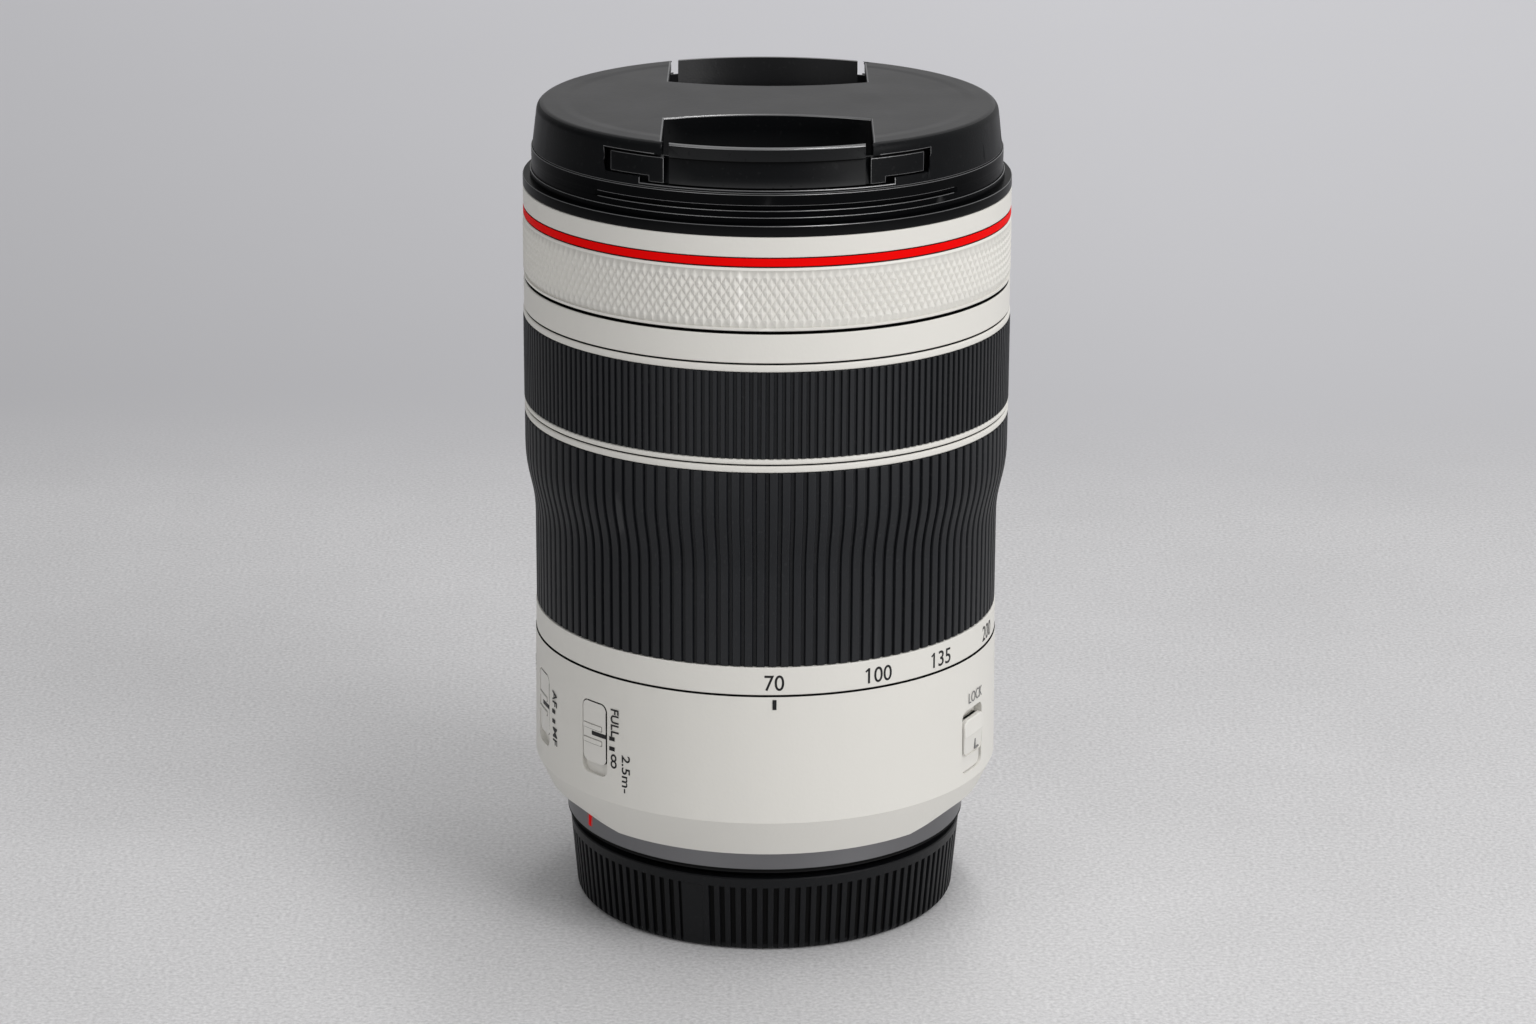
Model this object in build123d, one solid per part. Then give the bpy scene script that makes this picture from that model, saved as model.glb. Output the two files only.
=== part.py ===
from build123d import *
import math
import os

# A camera zoom lens standing on its rear cap, front cap on top, in millimetres.
# Inside the functions Z is zero on the camera mount plane and points to the front of the lens.
# The finished pieces are lifted so that the origin is on the ground under the rear cap.
# Angles are degrees round the axis from the front of the picture (-Y) towards +X.

# Fits and gaps
running_gap = 0.15      # between tubes and rings that slide or turn
seam_gap = 0.15         # the dark line between two outer rings
seat_gap = 0.05         # between pieces that are pressed or glued
overrun = 1.0           # how far a cutter passes the wall that it cuts

# Lengths of the outer stack, from the mount plane forwards
barrel_foot_height = 4.1
rear_barrel_length = 29.3
scale_band_length = 5.0
zoom_rubber_length = 34.25
zoom_rim_length = 1.2
focus_rear_rim_length = 0.95
focus_rubber_length = 14.75
focus_front_rim_length = 1.25
center_band_length = 5.1
control_ring_length = 10.8
red_ring_length = 1.45
head_barrel_length = 3.5
hood_flange_length = 1.9
hood_neck_length = 4.7

# Walls, from the moving inner tube outwards
inner_tube_radius = 36.0
inner_tube_wall = 1.5
guide_wall = 1.2
cam_wall = 0.95
zoom_core_wall = 0.45
zoom_rubber_thickness = 0.9
zoom_shoulder_rise = 1.65
scale_band_wall = 1.45
barrel_clearance = 0.3
barrel_wall = 1.4
barrel_flare = 0.2
sleeve_clearance = 0.4
sleeve_wall = 0.8
focus_core_wall = 0.8
focus_rubber_thickness = 1.05
focus_rim_wall = 1.8
center_band_wall = 1.8
control_ring_wall = 1.85
head_wall = 1.65
neck_step = 1.5
neck_wall = 1.6

# Zoom ring: where its waist starts to swell, as shares of the rubber's length
swell_low_share = 0.46
swell_high_share = 0.84
swell_pull_share = 0.45

# Rear barrel's foot
barrel_bevel_length = 6.8
barrel_bevel_depth = 3.2
foot_lip_width = 2.15
foot_lip_height = 1.9
scallop_depth = 1.3
scallop_ramp = 6.5
scallop_half_width = 13.0
scallop_angles = (-79, 79)

# Guide tube, cam tube and their slots
guide_foot_width = 2.2
guide_foot_height = 1.5
guide_ledge_height = 0.9
cam_lift = 0.3
front_flange_length = 2.2
cam_front_gap = 3.6
cam_slot_margin = 3.85
zoom_turn = 70
variator_travel = 15.0
head_roller_radius = 2.0
variator_roller_radius = 1.75
slot_clearance = 0.25
roller_count = 3
head_roller_angle = -90
variator_roller_angle = -60
cam_steps = 10
drive_pin_radius = 1.5
drive_pin_depth = 0.9
drive_pin_angle = 0
drive_pin_drop = 4.0

# Moving head
tail_gap = 1.25
tail_roller_height = 3.2
tube_flange_height = 1.3
tube_flange_width = 2.3
flange_chamfer = 0.5
cell_length = 16.5
cell_wall = 2.7
cell_bore_step = 0.6
front_lens_edge = 5.2
front_lens_sag = 3.4
second_lens_edge = 4.2
second_lens_sag = 1.6
lens_air_gap = 1.4
bezel_height = 1.2
bezel_lap = 0.8
hood_groove_height = 0.9
hood_groove_depth = 0.7
hood_groove_rise = 2.4
hood_groove_spread_angle = 90
hood_groove_angles = (3, 183)

# Control ring's keeper
keeper_height = 1.0
keeper_lap = 1.0

# Mount
mount_flange_height = 3.0
mount_collar_wall = 2.4
mount_flange_width = 9.6
bayonet_wall = 1.4
bayonet_length = 5.6
bayonet_lug_height = 1.4
bayonet_lug_reach = 1.5
bayonet_lug_spread_angle = 44
bayonet_lug_count = 3
gasket_width = 1.4
gasket_height = 0.9
gasket_sink = 0.4
gasket_inset = 0.6
index_angle = -60.3
index_width = 0.9
index_length = 2.2
index_height = 1.3
index_depth = 0.3
screw_count = 4
screw_angle = 45
screw_head_radius = 1.5
screw_head_height = 0.9
screw_head_sink = 0.15
screw_shank_radius = 0.8
screw_reach = 2.4
boss_radius = 2.1
boss_gap = 0.3

# Contacts inside the bayonet
contact_block_width = 1.6
contact_block_height = 4.0
contact_block_spread_angle = 74
contact_block_angle = 180
contact_count = 12
contact_pin_width = 0.9
contact_pin_depth = 0.4
contact_pin_proud = 0.15

# Rear frame, board and rear lens group
frame_height = 2.0
rear_cell_gap = 2.5
rear_cell_wall = 2.8
rear_cell_length = 8.0
rear_cell_drop = 4.0
rear_cell_flange = 2.6
rear_cell_flange_height = 1.2
rear_lens_edge = 4.4
rear_lens_sag = 1.7
board_thickness = 1.2
board_inner_inset = 2.6
board_outer_inset = 0.7
board_spread_angle = 250
board_angle = 180
chip_size = 5.0
chip_height = 0.7
chip_count = 4

# Focus carriage on two rods
rod_radius = 1.0
rod_inset = 8.2
rod_angles = (-90, 90)
carriage_arm_length = 8.0
carriage_wall = 2.4
carriage_height = 4.0
carriage_gap = 0.6
carriage_arm_width = 4.4
carriage_boss_radius = 2.6
focus_travel = 3.5
focus_lens_edge = 2.4
focus_lens_sag = 1.0

# Iris housing with the stabilizer under it
housing_clearance = 0.1
housing_gap = 0.5
housing_lip_height = 0.8
housing_wall = 3.2
housing_lip_width = 2.6
stabilizer_head_gap = 1.5
iris_web_height = 1.0
iris_bay_wall = 4.6
iris_lip_height = 0.6
iris_lip_width = 1.0
stabilizer_travel = 0.8
slider_height = 1.5
slider_wall = 8.4
slider_gap = 0.35
lens_frame_height = 1.5
lens_hub_inset = 3.25
lens_hub_wall = 2.2
lens_hub_height = 3.3
stabilizer_lens_edge = 2.6
stabilizer_lens_sag = 0.9

# Iris blades
blade_count = 9
blade_thickness = 0.12
blade_pitch = 0.25
blade_width = 6.0
blade_web_lap = 0.6
blade_spread_angle = 96
blade_ear_width = 2.8
blade_pivot_inset = 1.9
blade_pin_reach = 3.0
blade_pin_radius = 0.6
blade_swing = 38
blade_ring_height = 1.3
blade_ring_gap = 0.35
blade_ring_land = 1.4
blade_ring_inner_land = 0.7

# Variator
variator_cell_length = 8.0
variator_cell_wall = 1.8
variator_web_height = 2.2
variator_hub_inset = 14.0
variator_hub_wall = 2.0
variator_hub_length = 8.0
variator_gap = 2.0
variator_lens_edge = 5.6
variator_lens_sag = 1.5

# Switches and the zoom lock
switch_angles = {
    "focus_limit_switch": -46,
    "focus_mode_switch": -72,
    "stabilizer_switch": -98,
    "stabilizer_mode_switch": -124,
}
switch_window_width = 6.0
switch_window_height = 12.4
switch_window_low = 15.0
switch_corner = 1.4
switch_sink = 0.3
switch_travel = 1.75
switch_side_gap = 0.1
slider_flange_width = 1.0
slider_flange_height = 0.6
slider_flange_thickness = 0.85
switch_ridge_height = 3.4
switch_ridge_rise = 0.25
lock_angle = 62
lock_window_width = 7.1
lock_window_height = 11.4
lock_window_low = 12.7
lock_sink = 1.1
lock_knob_height = 6.6
lock_knob_rise = 0.75
lock_travel = 1.5
lock_bolt_width = 3.0
lock_bolt_length = 6.5

# Front cap
cap_foot_inset = 0.2
cap_height = 7.35
cap_taper = 0.9
cap_roundover = 1.4
cap_wall = 1.6
cap_top_thickness = 1.4
cap_base_thickness = 0.85
cap_skirt_length = 2.0
cap_skirt_wall = 1.5
cap_skirt_gap_half_width = 13.0
tab_side_gap = 1.0
recess_middle = 12.0
recess_corner = 15.5
recess_wall = 1.0
tab_half_width = 15.9
tab_sink = 0.1
tab_lip_height = 1.8
tab_thickness = 2.2
tab_grip_depth = 0.8
tab_shelf_height = 1.2
tab_shelf_reach = 10.0
tab_travel = 1.8
wing_reach = 5.6
wing_low = 2.35
wing_height = 2.75
wing_stub_reach = 4.5
wing_thickness = 1.7
wing_window_gap = 0.3
catch_half_width = 9.0
catch_thickness = 1.8
catch_length = 2.1
catch_clearance = 0.2
cap_spring_radius = 1.2
cap_spring_wire = 0.2
cap_spring_pitch = 0.9
cap_spring_turns = 6
spring_post_width = 3.0

# Rear cap
rear_cap_gap = 1.6
rear_cap_height = 13.7
rear_cap_inset = 0.5
rear_cap_taper = 1.2
rear_cap_round = 1.5
rear_cap_wall = 1.8
rear_cap_floor = 1.7
rear_cap_ring_wall = 1.6
rear_cap_ring_drop = 0.3
rear_cap_lug_height = 1.4
rear_cap_lug_gap = 0.3

# Radii of the nested tubes, worked outwards from the inner tube
inner_tube_bore = inner_tube_radius - inner_tube_wall
guide_bore = inner_tube_radius + 2 * running_gap
guide_radius = guide_bore + guide_wall
cam_bore = guide_radius + running_gap
cam_radius = cam_bore + cam_wall
zoom_bore = cam_radius + running_gap
zoom_core_radius = zoom_bore + zoom_core_wall
waist_radius = zoom_core_radius + zoom_rubber_thickness
zoom_front_radius = waist_radius + zoom_shoulder_rise
scale_band_radius = zoom_bore + scale_band_wall
barrel_bore = cam_radius + barrel_clearance
barrel_top_radius = barrel_bore + barrel_wall
barrel_radius = barrel_top_radius + barrel_flare
sleeve_bore = cam_radius + sleeve_clearance
sleeve_radius = sleeve_bore + sleeve_wall
ring_bore = sleeve_radius + running_gap
focus_core_radius = ring_bore + focus_core_wall
focus_rubber_radius = focus_core_radius + focus_rubber_thickness
focus_rim_radius = ring_bore + focus_rim_wall
center_band_bore = sleeve_radius + seat_gap
center_band_radius = center_band_bore + center_band_wall
control_ring_radius = ring_bore + control_ring_wall
head_radius = ring_bore + head_wall
neck_radius = head_radius - neck_step
thread_radius = neck_radius - neck_wall

# Radii at the foot and the mount
foot_radius = barrel_radius - barrel_bevel_depth
foot_bore = foot_radius - foot_lip_width
foot_inner_radius = foot_radius - barrel_wall
frame_radius = foot_inner_radius - running_gap
mount_ring_radius = foot_bore - seam_gap
mount_collar_bore = mount_ring_radius - mount_collar_wall
screw_circle_radius = mount_collar_bore - boss_radius - boss_gap
bayonet_radius = mount_ring_radius - mount_flange_width
bayonet_bore = bayonet_radius - bayonet_wall
bayonet_lug_radius = bayonet_radius + bayonet_lug_reach
gasket_radius = mount_ring_radius - gasket_inset
rear_cap_radius = mount_ring_radius - rear_cap_inset
rear_cell_radius = bayonet_bore - rear_cell_gap

# Radii inside the guide tube
housing_radius = guide_bore - housing_clearance
rod_circle_radius = housing_radius - rod_inset
carriage_radius = rod_circle_radius - carriage_arm_length
stabilizer_plate_radius = housing_radius - housing_wall - stabilizer_travel - slider_gap
lens_hub_radius = stabilizer_plate_radius - slider_wall - lens_hub_inset
iris_bay_radius = housing_radius - iris_bay_wall
blade_ring_radius = iris_bay_radius - running_gap
blade_slot_half_width = blade_pin_radius + running_gap
blade_pin_rest_radius = blade_ring_radius - blade_ring_land - blade_slot_half_width
blade_pivot_radius = blade_pin_rest_radius - blade_pin_reach
blade_outer_radius = blade_pivot_radius - blade_pivot_inset
blade_inner_radius = blade_outer_radius - blade_width
iris_web_bore = blade_inner_radius + blade_web_lap
variator_hub_radius = inner_tube_radius - variator_hub_inset

# Heights of the outer stack above the mount plane
barrel_top = barrel_foot_height + rear_barrel_length
scale_low = barrel_top + seam_gap
zoom_rubber_low = scale_low + scale_band_length
zoom_rubber_top = zoom_rubber_low + zoom_rubber_length
zoom_top = zoom_rubber_top + zoom_rim_length
focus_low = zoom_top + seam_gap
focus_rubber_low = focus_low + focus_rear_rim_length
focus_rubber_top = focus_rubber_low + focus_rubber_length
focus_top = focus_rubber_top + focus_front_rim_length
band_low = focus_top + seam_gap
band_top = band_low + center_band_length
control_low = band_top + seam_gap
control_top = control_low + control_ring_length
head_low = control_top + seam_gap
red_top = head_low + red_ring_length
head_top = red_top + head_barrel_length
flange_top = head_top + hood_flange_length
front_rim = flange_top + hood_neck_length

# Heights inside
frame_low = barrel_foot_height + foot_lip_height
frame_top = frame_low + frame_height
bevel_top = barrel_foot_height + barrel_bevel_length
guide_top = control_top - keeper_height
guide_flange_low = guide_top - front_flange_length
guide_ledge_top = scale_low + cam_lift
cam_low = guide_ledge_top + cam_lift
cam_top = guide_flange_low - cam_front_gap
cell_low = red_top - cell_length + head_barrel_length
rear_cell_low = frame_low - rear_cell_drop
rear_cell_high = rear_cell_low + rear_cell_length
carriage_low = rear_cell_high + carriage_gap
housing_low = carriage_low + carriage_height + focus_travel + housing_gap
stabilizer_bay_height = slider_height + 2 * running_gap + lens_hub_height + stabilizer_head_gap
housing_bay_low = housing_low + housing_lip_height
housing_bay_top = housing_bay_low + stabilizer_bay_height
iris_floor = housing_bay_top + iris_web_height
blade_ring_low = iris_floor + blade_ring_gap + blade_pitch * blade_count + blade_ring_gap
housing_top = blade_ring_low + blade_ring_height + blade_ring_gap + iris_lip_height
variator_low = housing_top + variator_gap
variator_roller_height = variator_low + variator_cell_length / 2
tail_low = variator_low + variator_cell_length + tail_gap
head_roller_height = tail_low + tail_roller_height
head_travel = cam_top - cam_slot_margin - head_roller_height
switch_height = switch_window_height - switch_travel - 2 * switch_side_gap
lock_plate_height = lock_window_height - lock_travel - 2 * switch_side_gap

# The front cap and the rear cap
recess_half_width = tab_half_width + tab_side_gap
wing_stub_half_width = tab_half_width + wing_stub_reach
wing_half_width = wing_stub_half_width + wing_reach
cap_foot_radius = neck_radius - cap_foot_inset
cap_top_radius = cap_foot_radius - cap_taper
cap_low = front_rim + seat_gap
cap_base_top = cap_low + cap_base_thickness
cap_top = cap_low + cap_height
rear_cap_top = -rear_cap_gap
rear_cap_low = rear_cap_top - rear_cap_height
mount_plane_height = -rear_cap_low


def turned(points, arc=360):
    """Turn an outline of (radius, height) points about the lens axis, centred on the front."""
    outline = Polyline(*[(r, 0, z) for r, z in points], close=True)
    return Rot(0, 0, -90 - arc / 2) * revolve(make_face(outline), Axis.Z, arc)


def ring(outer, inner, low, high, arc=360):
    """A plain ring, or a sector of one centred on the front."""
    return turned([(inner, low), (outer, low), (outer, high), (inner, high)], arc)


def disc(radius, low, high):
    return Pos(0, 0, low) * Cylinder(radius, high - low, align=(Align.CENTER, Align.CENTER, Align.MIN))


def front_block(width, inner, outer, low, high):
    """A box that faces the front, between two distances from the axis."""
    middle = Pos(0, -(inner + outer) / 2, (low + high) / 2)
    return middle * Box(width, outer - inner, high - low)


def front_peg(radius, inner, outer, height):
    """A round peg that points out to the front."""
    peg = Cylinder(radius, outer - inner, align=(Align.CENTER, Align.CENTER, Align.MIN))
    return Pos(0, -outer, height) * Rot(-90, 0, 0) * peg


def around(shape, angle):
    return Rot(0, 0, angle) * shape


def spread(shape, count, first=0):
    """Equal copies of a front-facing shape, spaced round the axis."""
    return [around(shape, first + 360 * k / count) for k in range(count)]


def ground_face(radius, height, sag):
    """Half of a lens face from its rim to the axis; the sag is how far its middle stands up."""
    rim = (radius, 0, height)
    middle = (0, 0, height + sag)
    if sag == 0:
        return Line(rim, middle)
    sphere = (radius ** 2 + sag ** 2) / (2 * abs(sag))
    drop = sphere - math.sqrt(sphere ** 2 - (radius / 2) ** 2)
    halfway = (radius / 2, 0, height + math.copysign(abs(sag) - drop, sag))
    return ThreePointArc(rim, halfway, middle)


def lens(radius, low, high, low_sag, high_sag):
    """A glass element with a ground edge; a sag below zero makes that face hollow."""
    half = [
        ground_face(radius, low, -low_sag),
        Line((radius, 0, low), (radius, 0, high)),
        ground_face(radius, high, high_sag),
        Line((0, 0, high + high_sag), (0, 0, low - low_sag)),
    ]
    return revolve(make_face(half), Axis.Z, 360)


def slot_cutters(places, half_width, inner, outer):
    """Cutters for a slot through (angle, height) places on a tube wall."""
    middle_radius = (inner + outer) / 2
    cutters = []
    for angle, height in (places[0], places[-1]):
        cutters.append(around(front_peg(half_width, inner, outer, height), angle))
    for (angle_a, height_a), (angle_b, height_b) in zip(places, places[1:]):
        along = math.radians(angle_b - angle_a) * middle_radius
        length = math.hypot(along, height_b - height_a)
        tilt = math.degrees(math.atan2(height_b - height_a, along))
        bar = Rot(0, -tilt, 0) * Box(length + slot_clearance, outer - inner, 2 * half_width)
        bar = Pos(0, -middle_radius, (height_a + height_b) / 2) * bar
        cutters.append(around(bar, (angle_a + angle_b) / 2))
    return cutters


def cam_path(angle, height, travel):
    """Places along a cam slot, from the rest place of its roller to the far end."""
    steps = range(cam_steps + 1)
    return [(angle + zoom_turn * k / cam_steps, height + travel * k / cam_steps) for k in steps]


def roller_angles(first):
    return [first + 360 * k / roller_count for k in range(roller_count)]


# The fixed barrel

def scallop(angle):
    """Cutter that lifts the barrel's lower edge over part of the turn, with sloping ends."""
    low = barrel_foot_height
    wide = scallop_half_width + scallop_ramp
    outline = Polyline(
        (-wide, 0, low), (wide, 0, low), (scallop_half_width, 0, low + scallop_depth),
        (-scallop_half_width, 0, low + scallop_depth), close=True,
    )
    cutter = extrude(make_face(outline), amount=barrel_radius, dir=(0, -1, 0))
    return around(Pos(0, -overrun, 0) * cutter, angle)


def rear_barrel():
    shell = turned([
        (foot_bore, barrel_foot_height), (foot_radius, barrel_foot_height),
        (barrel_radius, bevel_top), (barrel_top_radius, barrel_top),
        (barrel_bore, barrel_top), (barrel_bore, bevel_top),
        (foot_inner_radius, frame_low), (foot_bore, frame_low),
    ])
    cutters = [scallop(angle) for angle in scallop_angles]
    for angle in switch_angles.values():
        cutters.append(around(window(switch_window_width, switch_window_low, switch_window_height), angle))
    cutters.append(around(window(lock_window_width, lock_window_low, lock_window_height), lock_angle))
    return shell - cutters


def window(width, low, height):
    """Cutter for a switch window with round corners, facing the front."""
    outline = Plane.XZ * RectangleRounded(width, height, switch_corner)
    cutter = extrude(outline, amount=barrel_radius - guide_radius + overrun, dir=(0, -1, 0))
    return Pos(0, -guide_radius, low + height / 2) * cutter


def rear_frame():
    """Plate that joins the mount, the barrel's foot and the guide tube."""
    bore = rear_cell_radius + seat_gap
    plate = ring(frame_radius, bore, frame_low, frame_top)
    boss = Pos(0, -screw_circle_radius, mount_flange_height)
    boss = boss * Cylinder(boss_radius, frame_low - mount_flange_height,
                           align=(Align.CENTER, Align.CENTER, Align.MIN))
    hole = Pos(0, -screw_circle_radius, mount_flange_height - overrun)
    hole = hole * Cylinder(screw_shank_radius + seat_gap, screw_reach + overrun + seat_gap,
                           align=(Align.CENTER, Align.CENTER, Align.MIN))
    rod_hole = [around(Pos(0, -rod_circle_radius, 0) * disc(rod_radius + seat_gap, frame_low, frame_top), a)
                for a in rod_angles]
    plate = plate + spread(boss, screw_count, screw_angle)
    return plate - spread(hole, screw_count, screw_angle) - rod_hole


def guide_tube():
    """Fixed tube with straight slots that stop the moving groups from turning."""
    ledge_radius = cam_radius - running_gap
    foot_bore_radius = frame_radius - guide_foot_width
    foot_top = frame_top + guide_foot_height
    tube = turned([
        (foot_bore_radius, frame_top), (frame_radius, frame_top), (guide_radius, bevel_top),
        (guide_radius, guide_ledge_top - guide_ledge_height),
        (ledge_radius, guide_ledge_top - guide_ledge_height),
        (ledge_radius, guide_ledge_top), (guide_radius, guide_ledge_top),
        (guide_radius, guide_flange_low), (sleeve_radius, guide_flange_low),
        (sleeve_radius, guide_top), (guide_bore, guide_top), (guide_bore, bevel_top + guide_foot_height),
        (frame_radius - guide_wall, foot_top), (foot_bore_radius, foot_top),
    ])
    cutters = []
    inner = guide_bore - overrun
    outer = cam_bore + overrun
    for angle in roller_angles(head_roller_angle):
        places = [(angle, head_roller_height), (angle, head_roller_height + head_travel)]
        cutters += slot_cutters(places, head_roller_radius + slot_clearance, inner, outer)
    for angle in roller_angles(variator_roller_angle):
        places = [(angle, variator_roller_height), (angle, variator_roller_height + variator_travel)]
        cutters += slot_cutters(places, variator_roller_radius + slot_clearance, inner, outer)
    return tube - cutters


def outer_sleeve():
    """Fixed sleeve that hangs from the guide tube's flange and carries the outer rings."""
    return ring(sleeve_radius, sleeve_bore, focus_low, guide_flange_low)


def center_band():
    return ring(center_band_radius, center_band_bore, band_low, band_top)


def sleeve_retaining_ring():
    """Keeper on top of the guide tube that holds the control ring on."""
    keeper_radius = ring_bore + keeper_lap
    return ring(keeper_radius, guide_bore, guide_top, control_top)


# The mount

def screw_hole():
    head = Pos(0, -screw_circle_radius, 0) * disc(
        screw_head_radius + running_gap, -overrun, screw_head_sink + screw_head_height)
    shank = Pos(0, -screw_circle_radius, 0) * disc(
        screw_shank_radius + running_gap, -overrun, mount_flange_height + overrun)
    return [head, shank]


def mount_ring():
    """Metal mount: flange, collar up to the rear frame, bayonet tube and its lugs."""
    body = turned([
        (bayonet_bore, -bayonet_length), (bayonet_radius, -bayonet_length), (bayonet_radius, 0),
        (mount_ring_radius, 0), (mount_ring_radius, frame_low), (mount_collar_bore, frame_low),
        (mount_collar_bore, mount_flange_height), (bayonet_bore, mount_flange_height),
    ])
    lug = ring(bayonet_lug_radius, bayonet_radius - seat_gap, -bayonet_length,
               -bayonet_length + bayonet_lug_height, bayonet_lug_spread_angle)
    groove = ring(gasket_radius + seat_gap, gasket_radius - gasket_width - seat_gap, -overrun, gasket_sink)
    cutters = [groove, index_pocket(index_depth + overrun, index_width + seat_gap)]
    for cutter in screw_hole():
        cutters += spread(cutter, screw_count, screw_angle)
    return body + spread(lug, bayonet_lug_count) - cutters


def index_pocket(depth, width):
    """The drop-shaped mounting mark, cut or filled from the mount ring's rim inwards."""
    inner = mount_ring_radius - index_depth
    outline = Plane.XZ * SlotOverall(index_length, width, rotation=90)
    drop = extrude(outline, amount=depth, dir=(0, -1, 0))
    return around(Pos(0, -inner, index_height + index_length / 2) * drop, index_angle)


def index_mark():
    return index_pocket(index_depth, index_width) & disc(mount_ring_radius, 0, frame_low)


def mount_gasket():
    return ring(gasket_radius, gasket_radius - gasket_width, gasket_sink - gasket_height, gasket_sink)


def mount_screws():
    head_top_height = screw_head_sink + screw_head_height
    head = disc(screw_head_radius, screw_head_sink, head_top_height)
    shank = disc(screw_shank_radius, head_top_height, mount_flange_height + screw_reach)
    screw = Pos(0, -screw_circle_radius, 0) * (head + shank)
    return Compound(spread(screw, screw_count, screw_angle))


def contact_places():
    pitch = contact_block_spread_angle / contact_count
    return [contact_block_angle + pitch * (k + 0.5 - contact_count / 2) for k in range(contact_count)]


def contact_pocket(clearance):
    """One contact, standing proud of the block's lower face."""
    middle = bayonet_bore - contact_block_width / 2
    half = contact_pin_width / 2 + clearance
    low = -bayonet_length + contact_pin_proud
    high = low + contact_pin_proud + contact_pin_depth
    return front_block(2 * half, middle - half, middle + half, low, high)


def contact_block():
    outer = bayonet_bore - seat_gap
    low = -bayonet_length + 2 * contact_pin_proud
    block = ring(outer, outer - contact_block_width, low, low + contact_block_height,
                 contact_block_spread_angle)
    block = around(block, contact_block_angle)
    return block - [around(contact_pocket(seat_gap), angle) for angle in contact_places()]


def contact_pins():
    return Compound([around(contact_pocket(0), angle) for angle in contact_places()])


# The rear group and the board

def main_board():
    """Horseshoe circuit board round the rear group, with its larger chips."""
    inner = rear_cell_radius + board_inner_inset
    outer = mount_collar_bore - board_outer_inset
    low = mount_flange_height + chip_height + seat_gap
    board = ring(outer, inner, low, low + board_thickness, board_spread_angle)
    chip_middle = (inner + outer) / 2
    chip = front_block(chip_size, chip_middle - chip_size / 2, chip_middle + chip_size / 2,
                       low - chip_height, low)
    step = board_spread_angle / chip_count
    chips = [around(chip, step * (k + 0.5 - chip_count / 2)) for k in range(chip_count)]
    board = around(board + chips, board_angle)
    clear = Pos(0, -screw_circle_radius, 0) * disc(boss_radius + running_gap, low - overrun, frame_low)
    return board - spread(clear, screw_count, screw_angle)


def rear_group_cell():
    flange_radius = rear_cell_radius + rear_cell_flange
    bore = rear_cell_radius - rear_cell_wall
    return turned([
        (bore, rear_cell_low), (rear_cell_radius, rear_cell_low), (rear_cell_radius, frame_top),
        (flange_radius, frame_top), (flange_radius, frame_top + rear_cell_flange_height),
        (rear_cell_radius, frame_top + rear_cell_flange_height),
        (rear_cell_radius, rear_cell_high), (bore, rear_cell_high),
    ])


def rear_group_glass():
    low = (rear_cell_low + rear_cell_high - rear_lens_edge) / 2
    radius = rear_cell_radius - rear_cell_wall - seat_gap
    return lens(radius, low, low + rear_lens_edge, rear_lens_sag, -rear_lens_sag)


# The focus carriage

def focus_guide_rods():
    rod = Pos(0, -rod_circle_radius, 0) * disc(rod_radius, frame_low, housing_bay_top)
    return Compound([around(rod, angle) for angle in rod_angles])


def focus_carriage():
    low = carriage_low
    high = low + carriage_height
    hub = ring(carriage_radius, carriage_radius - carriage_wall, low, high)
    arm = front_block(carriage_arm_width, carriage_radius - carriage_wall / 2, rod_circle_radius, low, high)
    boss = Pos(0, -rod_circle_radius, 0) * disc(carriage_boss_radius, low, high)
    bore = Pos(0, -rod_circle_radius, 0) * disc(rod_radius + seat_gap, low - overrun, high + overrun)
    frame = hub + [around(piece, angle) for angle in rod_angles for piece in (arm, boss)]
    return frame - [around(bore, angle) for angle in rod_angles]


def focus_glass():
    low = carriage_low + (carriage_height - focus_lens_edge) / 2
    radius = carriage_radius - carriage_wall - seat_gap
    return lens(radius, low, low + focus_lens_edge, -focus_lens_sag, focus_lens_sag)


# The iris housing, the stabilizer in its lower bay and the iris in its upper bay

def iris_housing():
    bay_radius = housing_radius - housing_wall
    housing = turned([
        (bay_radius - housing_lip_width, housing_low), (housing_radius, housing_low),
        (housing_radius, housing_top), (iris_bay_radius - iris_lip_width, housing_top),
        (iris_bay_radius - iris_lip_width, housing_top - iris_lip_height),
        (iris_bay_radius, housing_top - iris_lip_height), (iris_bay_radius, iris_floor),
        (iris_web_bore, iris_floor), (iris_web_bore, housing_bay_top), (bay_radius, housing_bay_top),
        (bay_radius, housing_bay_low), (bay_radius - housing_lip_width, housing_bay_low),
    ])
    pivot = Pos(0, -blade_pivot_radius, 0) * disc(blade_pin_radius + seat_gap, housing_bay_top - overrun,
                                                  iris_floor + overrun)
    return housing - spread(pivot, blade_count)


def rod_clearance(low, high):
    """Slots where the focus rods pass the two stabilizer plates."""
    room = stabilizer_travel + rod_radius + running_gap
    slot = front_block(2 * room, rod_circle_radius - room, housing_radius, low - overrun, high + overrun)
    return [around(slot, angle) for angle in rod_angles]


def stabilizer_slider():
    """Plate that moves sideways on the housing's lip."""
    low = housing_bay_low + running_gap
    high = low + slider_height
    plate = ring(stabilizer_plate_radius, stabilizer_plate_radius - slider_wall, low, high)
    return plate - rod_clearance(low, high)


def lens_frame_low():
    return housing_bay_low + slider_height + 2 * running_gap


def stabilizer_lens_frame():
    """Plate that moves up and down on the slider and holds the stabilizer lens."""
    low = lens_frame_low()
    high = low + lens_frame_height
    plate = ring(stabilizer_plate_radius, lens_hub_radius - lens_hub_wall, low, high)
    hub = ring(lens_hub_radius, lens_hub_radius - lens_hub_wall, low, low + lens_hub_height)
    return (plate + hub) - rod_clearance(low, high)


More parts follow.
